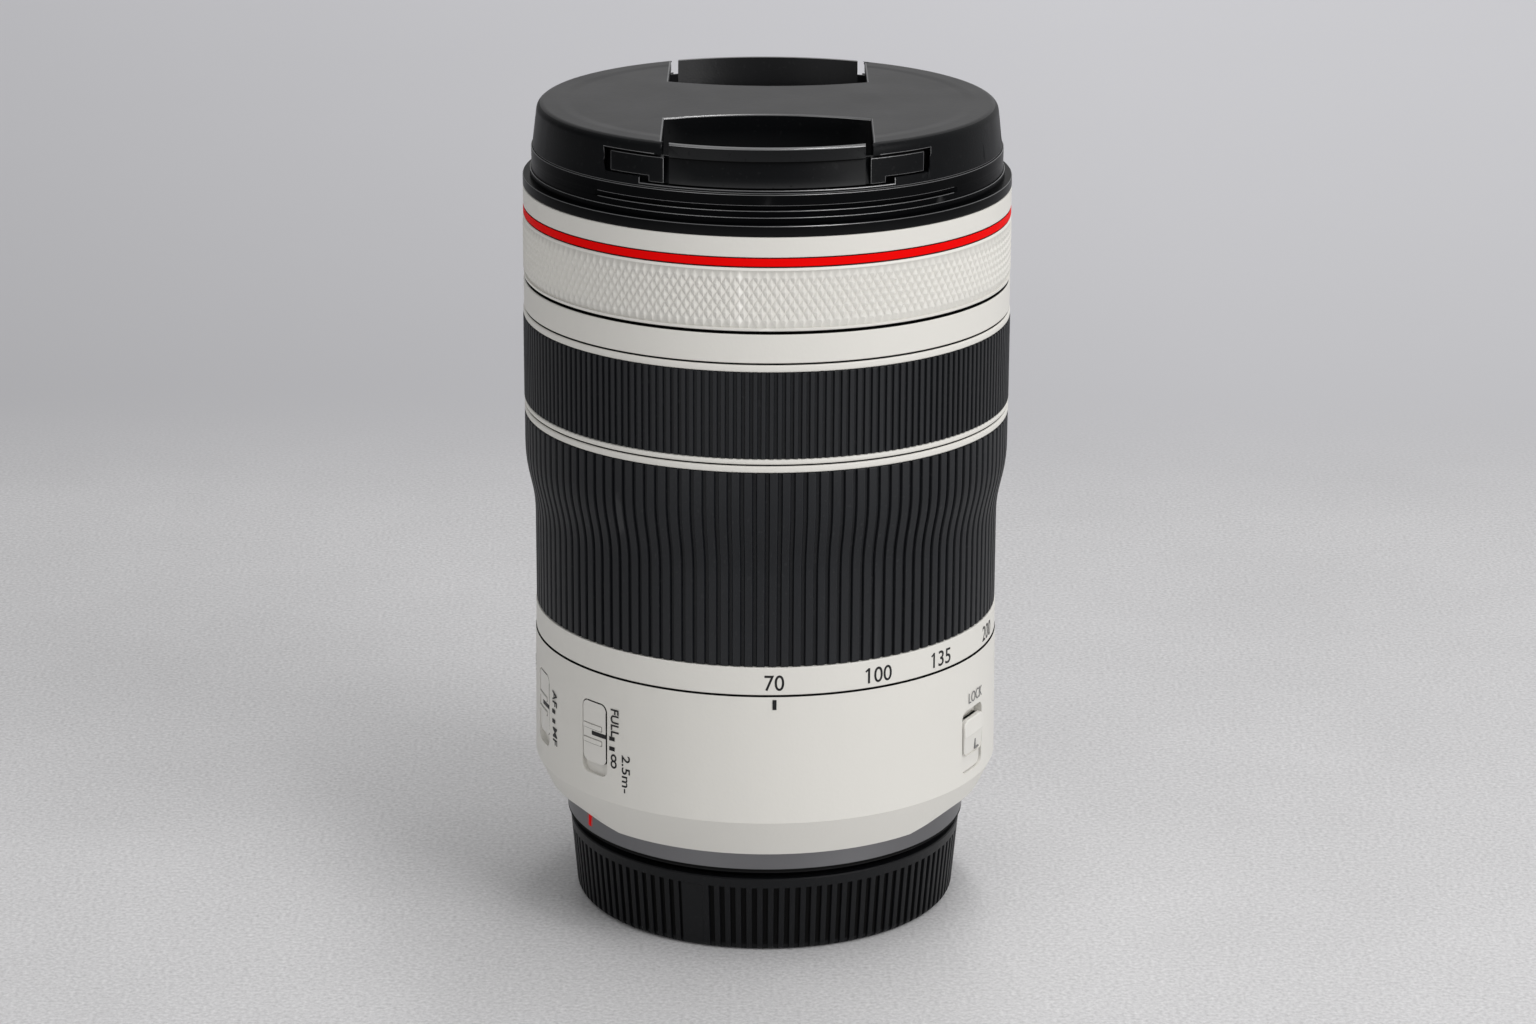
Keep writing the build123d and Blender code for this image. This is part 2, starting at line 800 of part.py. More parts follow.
def stabilizer_glass():
    low = lens_frame_low() + (lens_hub_height - stabilizer_lens_edge) / 2
    radius = lens_hub_radius - lens_hub_wall - seat_gap
    return lens(radius, low, low + stabilizer_lens_edge, stabilizer_lens_sag, -stabilizer_lens_sag)


def blade_pin_path_end():
    """Distance from the axis to a blade's drive pin when the iris is closed."""
    swing = math.radians(blade_swing)
    along = blade_pivot_radius + blade_pin_reach * math.cos(swing)
    return math.hypot(along, blade_pin_reach * math.sin(swing))


def iris_drive_ring():
    """Ring over the blades whose radial slots pull their drive pins round."""
    low = blade_ring_low
    high = low + blade_ring_height
    slot_inner = blade_pin_path_end() - blade_slot_half_width
    slot_outer = blade_pin_rest_radius + blade_slot_half_width
    plate = ring(blade_ring_radius, slot_inner - blade_ring_inner_land, low, high)
    slot = front_block(2 * blade_slot_half_width, slot_inner, slot_outer, low - overrun, high + overrun)
    return plate - spread(slot, blade_count)


def iris_blade(index):
    """One curved blade at its own level, with a pivot pin below and a drive pin above."""
    low = iris_floor + blade_ring_gap + blade_pitch * index
    high = low + blade_thickness
    ear = front_block(blade_ear_width, blade_outer_radius - overrun, blade_pin_rest_radius, low, high)
    tip = Pos(0, -blade_pin_rest_radius, 0) * disc(blade_ear_width / 2, low, high)
    crescent = ring(blade_outer_radius, blade_inner_radius, low, high, blade_spread_angle)
    crescent = around(crescent, blade_spread_angle / 2)
    root = Pos(0, -(blade_inner_radius + blade_outer_radius) / 2, 0) * disc(
        (blade_outer_radius - blade_inner_radius) / 2, low, high)
    pivot = Pos(0, -blade_pivot_radius, 0) * disc(blade_pin_radius, housing_bay_top, low)
    drive = disc(blade_pin_radius, high, blade_ring_low + blade_ring_height)
    drive = Pos(0, -blade_pin_rest_radius, 0) * drive
    blade = crescent + [ear, tip, root, pivot, drive]
    return around(blade, 360 * index / blade_count)


# The variator

def variator_cell():
    high = variator_low + variator_cell_length
    web_low = variator_roller_height - variator_web_height / 2
    radius = inner_tube_radius
    rim_bore = radius - variator_cell_wall
    hub_low = variator_roller_height - variator_hub_length / 2
    hub_high = hub_low + variator_hub_length
    hub_bore = variator_hub_radius - variator_hub_wall
    cell = turned([
        (hub_bore, hub_low), (variator_hub_radius, hub_low), (variator_hub_radius, web_low),
        (rim_bore, web_low), (rim_bore, variator_low), (radius, variator_low), (radius, high),
        (rim_bore, high), (rim_bore, web_low + variator_web_height),
        (variator_hub_radius, web_low + variator_web_height), (variator_hub_radius, hub_high),
        (hub_bore, hub_high),
    ])
    hole = front_peg(variator_roller_radius + seat_gap, rim_bore - overrun, radius + overrun,
                     variator_roller_height)
    return cell - spread(hole, roller_count, variator_roller_angle)


def variator_glass():
    radius = variator_hub_radius - variator_hub_wall - seat_gap
    low = variator_roller_height - variator_lens_edge / 2
    return lens(radius, low, low + variator_lens_edge, -variator_lens_sag, -variator_lens_sag)


def variator_rollers():
    roller = front_peg(variator_roller_radius, inner_tube_radius - variator_cell_wall + seat_gap,
                       cam_radius - running_gap, variator_roller_height)
    return Compound(spread(roller, roller_count, variator_roller_angle))


# The zoom ring and its cam tube

def cam_tube():
    """Tube that turns with the zoom ring; its sloping slots drive the moving groups."""
    tube = ring(cam_radius, cam_bore, cam_low, cam_top)
    cutters = []
    inner = cam_bore - overrun
    outer = cam_radius + overrun
    for angle in roller_angles(head_roller_angle):
        path = cam_path(angle, head_roller_height, head_travel)
        cutters += slot_cutters(path, head_roller_radius + slot_clearance, inner, outer)
    for angle in roller_angles(variator_roller_angle):
        path = cam_path(angle, variator_roller_height, variator_travel)
        cutters += slot_cutters(path, variator_roller_radius + slot_clearance, inner, outer)
    return tube - cutters - drive_pin_set(seat_gap)


def drive_pin_set(clearance):
    height = zoom_rubber_top - drive_pin_drop
    pin = front_peg(drive_pin_radius + clearance, cam_bore, zoom_bore + drive_pin_depth + clearance, height)
    return spread(pin, roller_count, drive_pin_angle)


def zoom_drive_pins():
    return Compound(drive_pin_set(0))


def swell(low_radius, high_radius):
    """The zoom ring's outline from its waist out to its front, as (low point, high point, edge)."""
    low = (low_radius, 0, zoom_rubber_low + zoom_rubber_length * swell_low_share)
    high = (high_radius, 0, zoom_rubber_low + zoom_rubber_length * swell_high_share)
    pull = (high[2] - low[2]) * swell_pull_share
    edge = Bezier(low, (low_radius, 0, low[2] + pull), (high_radius, 0, high[2] - pull), high)
    return low, high, edge


def zoom_core_outer():
    return zoom_front_radius - zoom_rubber_thickness


def zoom_ring():
    """Rigid core of the zoom ring: scale band behind, thin waist, rim in front."""
    low, high, edge = swell(zoom_core_radius, zoom_core_outer())
    outline = [
        Polyline((zoom_bore, 0, scale_low), (scale_band_radius, 0, scale_low),
                 (scale_band_radius, 0, zoom_rubber_low), (zoom_core_radius, 0, zoom_rubber_low), low),
        edge,
        Polyline(high, (zoom_core_outer(), 0, zoom_rubber_top), (zoom_front_radius, 0, zoom_rubber_top),
                 (zoom_front_radius, 0, zoom_top), (zoom_bore, 0, zoom_top), (zoom_bore, 0, scale_low)),
    ]
    return revolve(make_face(outline), Axis.Z, 360) - drive_pin_set(seat_gap)


def zoom_grip():
    """Rubber sleeve over the zoom ring's core."""
    low, high, edge = swell(zoom_core_radius + seat_gap, zoom_core_outer() + seat_gap)
    outer_low, outer_high, outer_edge = swell(waist_radius, zoom_front_radius)
    bottom = zoom_rubber_low + seat_gap
    top = zoom_rubber_top - seat_gap
    outline = [
        Polyline(low, (low[0], 0, bottom), (waist_radius, 0, bottom), outer_low),
        outer_edge,
        Polyline(outer_high, (zoom_front_radius, 0, top), (high[0], 0, top), high),
        edge,
    ]
    return revolve(make_face(outline), Axis.Z, 360)


# The focus ring and the control ring

def focus_ring():
    return turned([
        (ring_bore, focus_low), (focus_rim_radius, focus_low), (focus_rim_radius, focus_rubber_low),
        (focus_core_radius, focus_rubber_low), (focus_core_radius, focus_rubber_top),
        (focus_rim_radius, focus_rubber_top), (focus_rim_radius, focus_top), (ring_bore, focus_top),
    ])


def focus_grip():
    return ring(focus_rubber_radius, focus_core_radius + seat_gap, focus_rubber_low + seat_gap,
                focus_rubber_top - seat_gap)


def control_ring():
    pocket = ring_bore + keeper_lap + running_gap
    return turned([
        (ring_bore, control_low), (control_ring_radius, control_low), (control_ring_radius, control_top),
        (pocket, control_top), (pocket, guide_top - running_gap), (ring_bore, guide_top - running_gap),
    ])


# The moving head

def inner_tube():
    flange_radius = inner_tube_radius + tube_flange_width
    tube = turned([
        (inner_tube_bore, tail_low), (inner_tube_radius, tail_low),
        (inner_tube_radius, red_top - tube_flange_height), (flange_radius, red_top - tube_flange_height),
        (flange_radius, red_top), (inner_tube_bore, red_top),
    ])
    hole = front_peg(head_roller_radius + seat_gap, inner_tube_bore - overrun, inner_tube_radius + overrun,
                     head_roller_height)
    return tube - spread(hole, roller_count, head_roller_angle)


def head_rollers():
    roller = front_peg(head_roller_radius, inner_tube_bore + seat_gap, cam_radius - running_gap,
                       head_roller_height)
    return Compound(spread(roller, roller_count, head_roller_angle))


def head_bore():
    return inner_tube_radius + tube_flange_width + seat_gap


def red_ring():
    return ring(head_radius, head_bore(), head_low, red_top)


def head_barrel():
    return ring(head_radius, head_bore(), red_top, head_top)


def hood_mount_ring():
    """Front rim: flange, neck with hood grooves, and the filter thread's bore."""
    body = turned([
        (thread_radius, head_top), (head_radius - flange_chamfer / 2, head_top),
        (head_radius, head_top + flange_chamfer / 2), (head_radius, flange_top - flange_chamfer),
        (head_radius - flange_chamfer, flange_top), (neck_radius, flange_top),
        (neck_radius, front_rim), (thread_radius, front_rim),
    ])
    low = flange_top + hood_groove_rise
    groove = ring(neck_radius + overrun, neck_radius - hood_groove_depth, low, low + hood_groove_height,
                  hood_groove_spread_angle)
    return body - [around(groove, angle) for angle in hood_groove_angles]


def front_cell():
    """Black cell that holds the two front elements inside the inner tube."""
    radius = inner_tube_bore - seat_gap
    flange_radius = inner_tube_radius + tube_flange_width
    bore = radius - cell_wall
    step_low = head_top - front_lens_edge - lens_air_gap / 2
    return turned([
        (bore - cell_bore_step, cell_low), (radius, cell_low), (radius, red_top), (flange_radius, red_top),
        (flange_radius, head_top), (bore, head_top), (bore, step_low), (bore - cell_bore_step, step_low),
    ])


def front_glass():
    radius = inner_tube_bore - 2 * seat_gap - cell_wall
    low = head_top - front_lens_edge
    first = lens(radius, low, head_top, 0, front_lens_sag)
    second_top = low - lens_air_gap
    second_low = second_top - second_lens_edge
    second = lens(radius - cell_bore_step, second_low, second_top, second_lens_sag, -second_lens_sag)
    return Compound([first, second])


def front_retaining_ring():
    """Bezel in front of the first element."""
    bore = inner_tube_bore - cell_wall - bezel_lap
    slope = front_lens_sag * (1 - (bore / (inner_tube_bore - cell_wall)) ** 2)
    outer = thread_radius - seat_gap
    low = head_top + seat_gap
    return turned([
        (bore, low + slope), (inner_tube_bore - cell_wall, low), (outer, low),
        (outer, low + slope + bezel_height), (bore, low + slope + bezel_height),
    ])


# The switches and the zoom lock

def switch_slider(angle):
    """Slide switch in its upper place, with a wider flange behind the barrel's wall."""
    width = switch_window_width - 2 * switch_side_gap
    top = switch_window_low + switch_window_height - switch_side_gap
    low = top - switch_height
    face = barrel_radius - switch_sink
    back = barrel_bore - running_gap
    flange_back = back - slider_flange_thickness
    outline = Plane.XZ * RectangleRounded(width, switch_height, switch_corner - switch_side_gap)
    plate = extrude(outline, amount=face - flange_back, dir=(0, -1, 0))
    plate = Pos(0, -flange_back, (low + top) / 2) * plate
    flange = front_block(width + 2 * slider_flange_width, flange_back, back,
                         low - slider_flange_height, top + slider_flange_height)
    flange = flange & disc(back, low - overrun, top + overrun)
    ridge_low = (low + top - switch_ridge_height) / 2
    ridge = front_block(width, face - switch_ridge_rise, face + switch_ridge_rise, ridge_low,
                        ridge_low + switch_ridge_height)
    curve = disc(face, low - overrun, top + overrun)
    return around((plate & curve) + [flange, ridge], angle)


def zoom_lock_lever():
    """Lock lever in its lower, unlocked place, with the start of its bolt behind the wall."""
    width = lock_window_width - 2 * switch_side_gap
    low = lock_window_low + switch_side_gap
    top = low + lock_plate_height
    face = barrel_radius - lock_sink
    back = barrel_bore - running_gap
    flange_back = back - slider_flange_thickness
    outline = Plane.XZ * RectangleRounded(width, lock_plate_height, switch_corner - switch_side_gap)
    plate = extrude(outline, amount=face - flange_back, dir=(0, -1, 0))
    plate = Pos(0, -flange_back, (low + top) / 2) * plate
    knob_middle = top - lock_knob_height / 2
    knob_face = barrel_radius + lock_knob_rise
    ridge_low = knob_middle - lock_knob_rise / 2
    outline = Plane.XZ * RectangleRounded(width, lock_knob_height, switch_corner - switch_side_gap)
    knob = extrude(outline, amount=knob_face - face + seat_gap, dir=(0, -1, 0))
    knob = Pos(0, seat_gap - face, knob_middle) * knob
    knob = knob + front_block(width, face, knob_face + seat_gap, ridge_low, ridge_low + lock_knob_rise)
    flange = front_block(width + 2 * slider_flange_width, flange_back, back, low, top)
    flange = flange & disc(back, low, top)
    bolt = front_block(lock_bolt_width, flange_back, back, top - overrun, top + lock_bolt_length)
    return around(plate + [knob, flange, bolt], lock_angle)


# The front cap

def cap_outline(sink):
    """The cap's solid outer form, sunk inwards a little for the tabs."""
    foot = cap_foot_radius - sink
    top_radius = cap_top_radius - sink
    top = cap_top - sink
    body = turned([(0, cap_low), (foot, cap_low), (top_radius, top), (0, top)])
    edge = body.edges().filter_by(GeomType.CIRCLE).sort_by(Axis.Z)[-1]
    return fillet(edge, cap_roundover)


def recess_plan(grow):
    """Plan of the front finger recess, grown outwards by a wall."""
    half = recess_half_width + grow
    corner = -(recess_corner - grow)
    middle = -(recess_middle - grow)
    far = -(cap_foot_radius + overrun)
    outline = [
        ThreePointArc((-half, corner), (0, middle), (half, corner)),
        Polyline((half, corner), (half, far), (-half, far), (-half, corner)),
    ]
    return make_face(outline)


def front_view(points, near, far):
    """Extrude a symmetric front outline of (half width, height) points between two depths."""
    right = [(x, -near, z) for x, z in points]
    left = [(-x, -near, z) for x, z in reversed(points)]
    face = make_face(Polyline(*right, *left, close=True))
    return extrude(face, amount=far - near, dir=(0, -1, 0))


def tab_front_outline(grow):
    """Front outline of a cap tab's side wings: a stub below and a long bar above."""
    low = cap_base_top + seat_gap - grow
    bar_low = cap_low + wing_low - grow
    bar_top = cap_low + wing_low + wing_height + grow
    return [
        (wing_stub_half_width + grow, low), (wing_stub_half_width + grow, bar_low),
        (wing_half_width + grow, bar_low), (wing_half_width + grow, bar_top),
    ]


def catch_room():
    """Window in the cap's base for a tab's catch and its travel."""
    outer = thread_radius - seat_gap
    inner = outer - catch_clearance - catch_thickness - tab_travel - 2 * running_gap
    wide = catch_half_width + 2 * running_gap
    low = cap_low - overrun
    high = cap_base_top + overrun
    return front_block(2 * wide, inner * math.cos(wide / inner), outer, low, high) & disc(outer, low, high)


def spring_place():
    """Distance sideways and height of a cap spring's axis."""
    return recess_half_width + recess_wall + spring_post_width / 2, cap_low + wing_low + wing_height / 2


def spring_back():
    """Distance from the axis to the post behind a cap spring."""
    outer_side = spring_place()[0] + spring_post_width / 2
    wing_inner = cap_top_radius - tab_sink - wing_thickness
    reach = math.sqrt(wing_inner ** 2 - outer_side ** 2) - tab_travel - 2 * running_gap
    return reach - cap_spring_turns * cap_spring_pitch - 2 * cap_spring_wire


def half_turns(shape):
    """A front-facing shape and its twin at the back."""
    return [shape, around(shape, 180)]


def cap_body():
    inside_top = cap_top - cap_top_thickness
    shell = cap_outline(0) - disc(cap_top_radius - cap_wall, cap_base_top, inside_top)
    side = spring_place()[0]
    post = front_block(spring_post_width, spring_back() - spring_post_width, spring_back(),
                       cap_base_top, inside_top)
    posts = [Pos(x, 0, 0) * post for x in (-side, side)]
    walls = Pos(0, 0, cap_base_top) * extrude(recess_plan(recess_wall), amount=inside_top - cap_base_top)
    walls = walls & disc(cap_top_radius - cap_wall / 2, cap_base_top, inside_top)
    recess = Pos(0, 0, cap_base_top) * extrude(recess_plan(0), amount=cap_height)
    wing_near = spring_back() + cap_spring_wire
    wings = front_view(tab_front_outline(wing_window_gap), wing_near, cap_foot_radius + overrun)
    skirt = ring(thread_radius - catch_clearance, thread_radius - catch_clearance - cap_skirt_wall,
                 cap_low - cap_skirt_length, cap_low)
    skirt_gap = front_block(2 * cap_skirt_gap_half_width, inner_tube_bore / 2, neck_radius,
                            cap_low - cap_skirt_length - overrun, cap_low)
    body = shell + half_turns(walls)
    for post in posts:
        body = body + half_turns(post)
    for cutter in (recess, wings, catch_room()):
        body = body - half_turns(cutter)
    return body + (skirt - half_turns(skirt_gap))


def cap_tab():
    """Front tab of the cap at rest: lip, grip face, side wings, shelf and catch."""
    form = cap_outline(tab_sink)
    low = cap_base_top + seat_gap
    far = cap_foot_radius + overrun
    lip_radius = cap_top_radius - tab_sink - tab_thickness
    main = front_view([(tab_half_width, low), (tab_half_width, cap_top)], tab_half_width, cap_foot_radius)
    main = (main & form) - disc(lip_radius, low - overrun, cap_top + overrun)
    grip = ring(far, cap_top_radius - tab_sink - tab_grip_depth, low - overrun, cap_top - tab_lip_height)
    grip = grip & front_block(2 * tab_half_width, tab_half_width, far, low - overrun, cap_top)
    wings = front_view(tab_front_outline(0), tab_half_width, cap_foot_radius)
    wings = (wings & form) - disc(cap_top_radius - tab_sink - wing_thickness, low - overrun, cap_top)
    shelf_near = lip_radius - tab_shelf_reach
    shelf_top = low + tab_shelf_height
    shelf = front_block(2 * tab_half_width, shelf_near, far, low, shelf_top)
    shelf = shelf & disc(lip_radius + seat_gap, low, shelf_top)
    catch_outer = thread_radius - seat_gap - catch_clearance
    catch_low = cap_low - catch_length
    catch_top = low + seat_gap
    catch = ring(catch_outer, catch_outer - catch_thickness, catch_low, catch_top)
    catch = catch & front_block(2 * catch_half_width, tab_half_width, far, catch_low, catch_top)
    return (main + wings - grip) + [shelf, catch]


def cap_springs():
    """The four small springs behind the tab wings, drawn pressed in."""
    side, height = spring_place()
    path = Helix(cap_spring_pitch, cap_spring_pitch * cap_spring_turns, cap_spring_radius)
    section = Plane(origin=path @ 0, z_dir=path % 0) * Circle(cap_spring_wire)
    coil = sweep(section, path, is_frenet=True)
    coil = Rot(90, 0, 0) * coil
    near = spring_back() + cap_spring_wire
    springs = []
    for x in (-side, side):
        springs += half_turns(Pos(x, -near, height) * coil)
    return Compound(springs)


# The rear cap

def rear_cap():
    """Cup over the mount with an inner ring whose lugs turn behind the bayonet lugs."""
    low_radius = rear_cap_radius - rear_cap_taper
    ring_bore_radius = bayonet_lug_radius + running_gap
    ring_radius = ring_bore_radius + rear_cap_ring_wall
    floor_top = rear_cap_low + rear_cap_floor
    ring_top = rear_cap_top - rear_cap_ring_drop
    cup = turned([
        (0, rear_cap_low), (low_radius, rear_cap_low), (rear_cap_radius, rear_cap_top),
        (rear_cap_radius - rear_cap_wall, rear_cap_top), (low_radius - rear_cap_wall, floor_top),
        (ring_radius, floor_top), (ring_radius, ring_top), (ring_bore_radius, ring_top),
        (ring_bore_radius, floor_top), (0, floor_top),
    ])
    edge = cup.edges().filter_by(GeomType.CIRCLE).sort_by(Axis.Z)[0]
    cup = fillet(edge, rear_cap_round)
    lug_low = -bayonet_length + bayonet_lug_height + rear_cap_lug_gap
    lug = ring(ring_bore_radius + seat_gap, bayonet_radius + running_gap, lug_low,
               lug_low + rear_cap_lug_height, bayonet_lug_spread_angle)
    return cup + spread(lug, bayonet_lug_count)


pieces = {
    "rear_barrel": rear_barrel(),
    "rear_frame": rear_frame(),
    "guide_tube": guide_tube(),
    "outer_sleeve": outer_sleeve(),
    "center_band": center_band(),
    "sleeve_retaining_ring": sleeve_retaining_ring(),
    "mount_ring": mount_ring(),
    "index_mark": index_mark(),
    "mount_gasket": mount_gasket(),
    "mount_screws": mount_screws(),
    "contact_block": contact_block(),
    "contact_pins": contact_pins(),
    "main_board": main_board(),
    "rear_group_cell": rear_group_cell(),
    "rear_group_glass": rear_group_glass(),
    "focus_guide_rods": focus_guide_rods(),
    "focus_carriage": focus_carriage(),
    "focus_glass": focus_glass(),
    "iris_housing": iris_housing(),
    "stabilizer_slider": stabilizer_slider(),
    "stabilizer_lens_frame": stabilizer_lens_frame(),
    "stabilizer_glass": stabilizer_glass(),
    "iris_drive_ring": iris_drive_ring(),
    "variator_cell": variator_cell(),
    "variator_glass": variator_glass(),
    "variator_rollers": variator_rollers(),
    "cam_tube": cam_tube(),
    "zoom_ring": zoom_ring(),
    "zoom_grip": zoom_grip(),
    "zoom_drive_pins": zoom_drive_pins(),
    "focus_ring": focus_ring(),
    "focus_grip": focus_grip(),
    "control_ring": control_ring(),
    "inner_tube": inner_tube(),
    "head_rollers": head_rollers(),
    "red_ring": red_ring(),
    "head_barrel": head_barrel(),
    "hood_mount_ring": hood_mount_ring(),
    "front_cell": front_cell(),
    "front_glass": front_glass(),
    "front_retaining_ring": front_retaining_ring(),
    "zoom_lock_lever": zoom_lock_lever(),
    "cap_body": cap_body(),
    "cap_front_tab": cap_tab(),
    "cap_rear_tab": around(cap_tab(), 180),
    "cap_springs": cap_springs(),
    "rear_cap": rear_cap(),
}
for name, angle in switch_angles.items():
    pieces[name] = switch_slider(angle)
for index in range(blade_count):
    pieces[f"iris_blade_{index + 1}"] = iris_blade(index)

os.makedirs("parts", exist_ok=True)
for name, shape in pieces.items():
    export_step(Pos(0, 0, mount_plane_height) * shape, os.path.join("parts", f"{name}.step"))
print("pieces", len(pieces), "height", round(mount_plane_height + cap_top, 2))
print("length without caps", front_rim, "largest radius", max(control_ring_radius, focus_rubber_radius))
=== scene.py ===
import math

import bmesh
import bpy
from mathutils import Matrix, Vector


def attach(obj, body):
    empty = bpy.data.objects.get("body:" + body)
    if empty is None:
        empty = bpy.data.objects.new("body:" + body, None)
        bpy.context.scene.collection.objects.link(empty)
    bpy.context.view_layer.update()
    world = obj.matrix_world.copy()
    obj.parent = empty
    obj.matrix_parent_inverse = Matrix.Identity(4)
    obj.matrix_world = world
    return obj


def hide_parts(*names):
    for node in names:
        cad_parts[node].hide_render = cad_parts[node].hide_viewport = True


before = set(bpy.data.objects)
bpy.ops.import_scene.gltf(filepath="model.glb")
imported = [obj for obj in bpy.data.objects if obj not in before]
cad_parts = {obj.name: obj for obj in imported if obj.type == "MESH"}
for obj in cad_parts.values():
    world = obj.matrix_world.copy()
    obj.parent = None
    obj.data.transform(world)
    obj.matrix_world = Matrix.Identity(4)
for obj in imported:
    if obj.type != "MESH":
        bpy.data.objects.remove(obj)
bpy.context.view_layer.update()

# A white telephoto zoom lens standing on its rear cap.
# Sizes here are in millimetres, and heights are counted from the camera mount plane.
# An angle goes round the lens from the front of the picture (-Y) towards +X, in degrees.
mm = 0.001
mountPlane = 15.3
# Points closer than weld are joined, and places closer than close, in millimetres, count as one
weld = 0.002 * mm
close = 0.01
# Steps of a full turn, the turn in radians from which an edge counts as sharp, and in degrees as flat
turnSteps = 288
sharpTurn = 0.8
flatTurn = 0.4
scene = bpy.context.scene
finishes = {}
print("frame loaded,", len(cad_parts), "nodes")


def onLens(radius, angle, height):
    turn = math.radians(angle)
    return Vector((radius * mm * math.sin(turn), -radius * mm * math.cos(turn), (mountPlane + height) * mm))


def lensPlace(point):
    # the way back from a point to its radius, angle and height
    radius = math.hypot(point.x, point.y) / mm
    return radius, math.degrees(math.atan2(point.x, -point.y)), point.z / mm - mountPlane


# Node helpers: a socket takes a value, or the output that feeds it

def addNode(tree, kind, sockets=None, **settings):
    node = tree.nodes.new(kind)
    for key, value in settings.items():
        setattr(node, key, value)
    for key, value in (sockets or {}).items():
        if isinstance(value, bpy.types.NodeSocket):
            tree.links.new(value, node.inputs[key])
        else:
            node.inputs[key].default_value = value
    return node


def mathNode(tree, operation, *values, clamp=False):
    sockets = dict(enumerate(values))
    return addNode(tree, "ShaderNodeMath", sockets, operation=operation, use_clamp=clamp).outputs[0]


def mixColors(tree, factor, first, second, blend="MIX"):
    sockets = {0: factor, 6: first, 7: second}
    return addNode(tree, "ShaderNodeMix", sockets, data_type="RGBA", blend_type=blend).outputs[2]


def fadeNode(tree, value, start, end, low=0.0, high=1.0, curve="LINEAR"):
    # goes from low to high while the value goes from start to end
    sockets = {"Value": value, "From Min": start, "From Max": end, "To Min": low, "To Max": high}
    return addNode(tree, "ShaderNodeMapRange", sockets, interpolation_type=curve).outputs["Result"]


def objectPlace(tree):
    return addNode(tree, "ShaderNodeTexCoord").outputs["Object"]


def noiseNode(tree, place, scale, detail, **more):
    sockets = {"Vector": place, "Scale": scale, "Detail": detail, **more}
    return addNode(tree, "ShaderNodeTexNoise", sockets).outputs["Fac"]


def bumpNode(tree, height, depth, strength=1.0):
    return addNode(tree, "ShaderNodeBump", {"Height": height, "Distance": depth * mm, "Strength": strength})


# Shared effects, as node groups

def newGroup(name, inputs, outputs):
    # the socket called Color holds a colour, and every other one a number
    group = bpy.data.node_groups.new(name, "ShaderNodeTree")
    for way, labels in (("INPUT", inputs), ("OUTPUT", outputs)):
        for label in labels:
            kind = "NodeSocketColor" if label == "Color" else "NodeSocketFloat"
            socket = group.interface.new_socket(name=label, in_out=way, socket_type=kind)
            if way == "INPUT":
                socket.default_value = inputs[label]
    return group, group.nodes.new("NodeGroupInput").outputs, group.nodes.new("NodeGroupOutput").inputs


def placeGroup(tree, group, **sockets):
    return addNode(tree, "ShaderNodeGroup", sockets, node_tree=group).outputs


def mouldGrain():
    # height of a fine moulded or sprayed grain, a coarse and a fine layer
    group, given, out = newGroup("mouldGrain", {"Scale": 2000.0, "Coarse share": 0.4}, ["Height"])
    place = objectPlace(group)
    fine = noiseNode(group, place, given["Scale"], 2.0)
    coarse = noiseNode(group, place, mathNode(group, "MULTIPLY", given["Scale"], 0.35), 1.0)
    coarsePart = mathNode(group, "MULTIPLY", coarse, given["Coarse share"])
    group.links.new(mathNode(group, "ADD", fine, coarsePart), out["Height"])
    return group


def toneDrift():
    # a colour that drifts a little lighter and darker over the surface
    inputs = {"Color": (0.5, 0.5, 0.5, 1), "Scale": 60.0, "Amount": 0.05}
    group, given, out = newGroup("toneDrift", inputs, ["Color", "Mask"])
    cloud = noiseNode(group, objectPlace(group), given["Scale"], 4.0, Roughness=0.6)
    centred = mathNode(group, "SUBTRACT", cloud, 0.5)
    gain = mathNode(group, "ADD", mathNode(group, "MULTIPLY", centred, given["Amount"]), 1.0)
    scaled = addNode(group, "ShaderNodeVectorMath", {0: given["Color"], "Scale": gain}, operation="SCALE")
    group.links.new(scaled.outputs["Vector"], out["Color"])
    group.links.new(cloud, out["Mask"])
    return group


def dustSpecks():
    # a mask of sparse small specks
    group, given, out = newGroup("dustSpecks", {"Scale": 900.0, "Rarity": 0.72}, ["Mask"])
    specks = noiseNode(group, objectPlace(group), given["Scale"], 0.0)
    over = mathNode(group, "SUBTRACT", specks, given["Rarity"])
    group.links.new(mathNode(group, "MULTIPLY", over, 14.0, clamp=True), out["Mask"])
    return group


def paintedLightMask():
    # a mask of the outer edges from pointiness, for a painted highlight; with a negative gain it masks the
    # hollows instead, for painted shade
    group, given, out = newGroup("paintedLightMask", {"Start": 0.52, "Gain": 8.0}, ["Mask"])
    pointed = addNode(group, "ShaderNodeNewGeometry").outputs["Pointiness"]
    over = mathNode(group, "SUBTRACT", pointed, given["Start"])
    group.links.new(mathNode(group, "MULTIPLY", over, given["Gain"], clamp=True), out["Mask"])
    return group


grainGroup, driftGroup, speckGroup, paintedLightGroup = mouldGrain(), toneDrift(), dustSpecks(), paintedLightMask()
